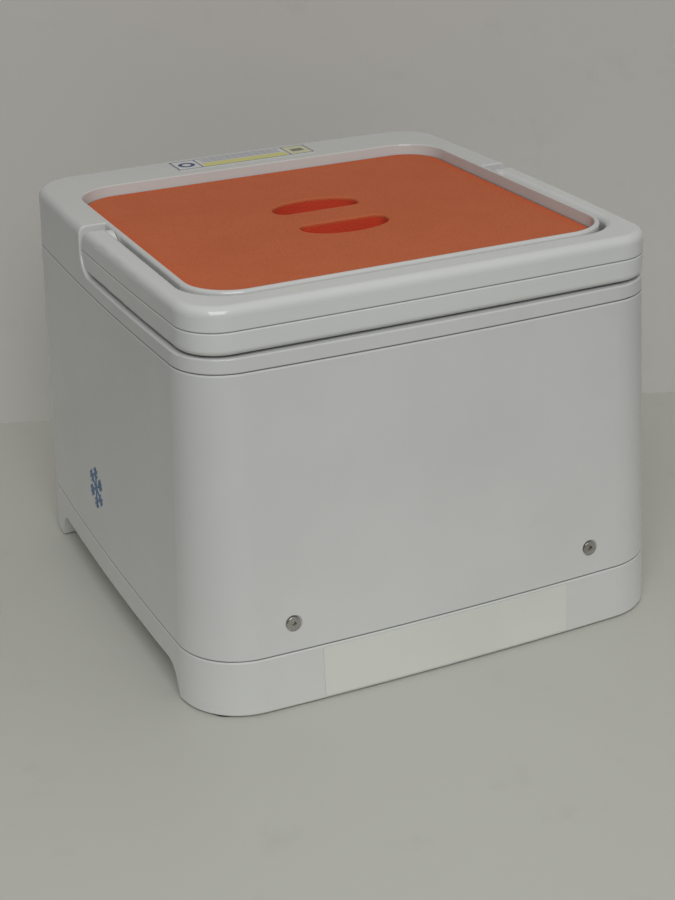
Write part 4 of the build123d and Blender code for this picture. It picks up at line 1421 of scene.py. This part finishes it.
@dataclass(frozen=True)
class Studio:
    """Plain pale floor and wall under soft light."""

    floor_tone: Colour = (0.505, 0.508, 0.465)
    floor_rough: float = 0.4
    floor_size: float = 12.0
    bounce_near: Colour = (0.87, 0.87, 0.81)
    bounce_far: Colour = (0.14, 0.14, 0.13)
    bounce_reach: Span = (0.28, 0.62)
    wall_tone: Colour = (0.545, 0.535, 0.508)
    wall_rough: float = 0.8
    wall_size: float = 6.0
    wall_start: Span = (-0.137, 0.316)
    wall_end: Span = (0.347, 0.120)
    cloud_shade: float = 0.95
    stain_shade: float = 0.86
    stain_cover: float = 0.5
    key_place: Triple = (-0.58, -1.43, 1.50)
    key_aim: Triple = (0.0, 0.0, 0.1)
    key_size: float = 1.3
    key_power: float = 24.6
    key_colour: Colour = (0.985, 1.0, 0.995)
    sky_low: float = 0.12
    sky_high: float = 0.45
    sky_lean: float = 0.15
    sky_colour: Colour = (1.0, 0.975, 0.945)
    beyond: Colour = (0.36, 0.36, 0.34)

    def make_tone(
        self, name: str, tone: Colour, rough: float
    ) -> tuple[bpy.types.Material, Tree, bpy.types.Node]:
        """Makes a paint with a faint mottling.

        Args:
            name: The material's name.
            tone: Its colour.
            rough: Its roughness.

        Returns:
            The material, its tree and its shader.
        """
        material, kit, shader = new_material(name)
        spot = kit.place()
        wide = kit.noise(spot, 5.0, detail=5.0, rough=0.6)
        small = kit.noise(spot, 22.0, detail=6.0, rough=0.65)
        cloud = kit.mix(wide, tone, shade(tone, self.cloud_shade))
        stain = kit.remap(small, 0.56, 0.74, 0.0, self.stain_cover)
        colour = kit.mix(stain, cloud, shade(tone, self.stain_shade))
        kit.feed(shader.inputs["Base Color"], colour)
        shader.inputs["Roughness"].default_value = rough
        return material, kit, shader

    def make_floor_paint(self) -> bpy.types.Material:
        """Makes a satin paint whose light on the object comes from near it, as from a table.

        Returns:
            The material.
        """
        material, kit, shader = self.make_tone("floor_paint", self.floor_tone, self.floor_rough)
        path = kit.add("ShaderNodeLightPath")
        away = kit.add("ShaderNodeVectorMath", operation="LENGTH")
        kit.feed(away.inputs[0], kit.place())
        distance = kit.remap(away.outputs["Value"], *self.bounce_reach)
        bounce = kit.mix(distance, self.bounce_near, self.bounce_far)
        tone = shader.inputs["Base Color"].links[0].from_socket
        colour = kit.mix(path.outputs["Is Diffuse Ray"], tone, bounce)
        kit.feed(shader.inputs["Base Color"], colour)
        return material

    def make_wall_paint(self) -> bpy.types.Material:
        """Makes a paint that is seen from the front only and takes no light from the object.

        Returns:
            The material.
        """
        material, kit, shader = self.make_tone("wall_paint", self.wall_tone, self.wall_rough)
        path = kit.add("ShaderNodeLightPath")
        side = kit.add("ShaderNodeNewGeometry")
        seen = kit.math("MAXIMUM", path.outputs["Is Camera Ray"], path.outputs["Is Glossy Ray"])
        front = kit.math("SUBTRACT", 1.0, side.outputs["Backfacing"])
        clear = kit.add("ShaderNodeBsdfTransparent")
        blend = kit.add("ShaderNodeMixShader")
        kit.feed(blend.inputs["Fac"], kit.math("MULTIPLY", seen, front))
        kit.feed(blend.inputs[1], clear.outputs[0])
        kit.feed(blend.inputs[2], shader.outputs[0])
        output = next(node for node in kit.nodes if node.type == "OUTPUT_MATERIAL")
        kit.feed(output.inputs["Surface"], blend.outputs[0])
        return material

    def add_plane(
        self, name: str, size: float, place: Vector, material: bpy.types.Material
    ) -> bpy.types.Object:
        """Adds a level square sheet.

        Args:
            name: Its name.
            size: Its side.
            place: Its middle.
            material: Its paint.

        Returns:
            The sheet.
        """
        clear_selection()
        bpy.ops.mesh.primitive_plane_add(size=size, location=place)
        plane = bpy.context.object
        plane.name = name
        plane.data.materials.append(material)
        return plane

    def build(self) -> None:
        """Makes the floor, the wall, the lamp and the sky."""
        start, end = Vector((*self.wall_start, 0.0)), Vector((*self.wall_end, 0.0))
        middle, along = (start + end) / 2, (end - start).normalized()
        floor = self.add_plane("floor", self.floor_size, Vector(), self.make_floor_paint())
        wall = self.add_plane("back_wall", self.wall_size, middle, self.make_wall_paint())
        wall.rotation_euler = (math.radians(90), 0.0, math.atan2(along.y, along.x))
        self.add_key_lamp()
        self.make_sky()

    def add_key_lamp(self) -> None:
        """Adds the square soft lamp that faces the object."""
        place = Vector(self.key_place)
        data = bpy.data.lights.new("key_lamp", "AREA")
        data.size = self.key_size
        data.energy = self.key_power
        data.color = self.key_colour
        lamp = bpy.data.objects.new("key_lamp", data)
        bpy.context.scene.collection.objects.link(lamp)
        lamp.location = place
        lamp.rotation_mode = "QUATERNION"
        lamp.rotation_quaternion = (Vector(self.key_aim) - place).to_track_quat("-Z", "Y")

    def make_sky(self) -> None:
        """Makes a sky, brighter overhead and to the right, that the camera sees as plain grey."""
        world = bpy.context.scene.world or bpy.data.worlds.new("sky")
        bpy.context.scene.world = world
        world.use_nodes = True
        kit = Tree(world.node_tree.nodes, world.node_tree.links)
        path = kit.add("ShaderNodeLightPath")
        way = kit.add("ShaderNodeTexCoord")
        split = kit.add("ShaderNodeSeparateXYZ")
        kit.feed(split.inputs[0], way.outputs["Generated"])
        rise = kit.remap(split.outputs["Z"], 0.0, 1.0, self.sky_low, self.sky_high)
        strength = kit.math("MULTIPLY_ADD", split.outputs["X"], self.sky_lean, rise)
        light = kit.mix(strength, (0.0, 0.0, 0.0), self.sky_colour)
        seen = kit.mix(path.outputs["Is Camera Ray"], light, self.beyond)
        kit.feed(world.node_tree.nodes["Background"].inputs["Color"], seen)


def main() -> None:
    """Builds the camera, the room and each part of the carrier in order."""
    logging.basicConfig(level=logging.INFO)
    bpy.context.scene.view_settings.view_transform = "Standard"
    PhotoCamera().build()
    Studio().build()
    effects = SharedEffects()
    Housing(effects).dress()
    CarryHandle(effects).dress()
    FoamLid(effects).build()
    ColdVessel(effects).dress()
    ControlPanel(effects).dress()
    BatteryBay(effects).dress()


if __name__ == "__main__":
    main()
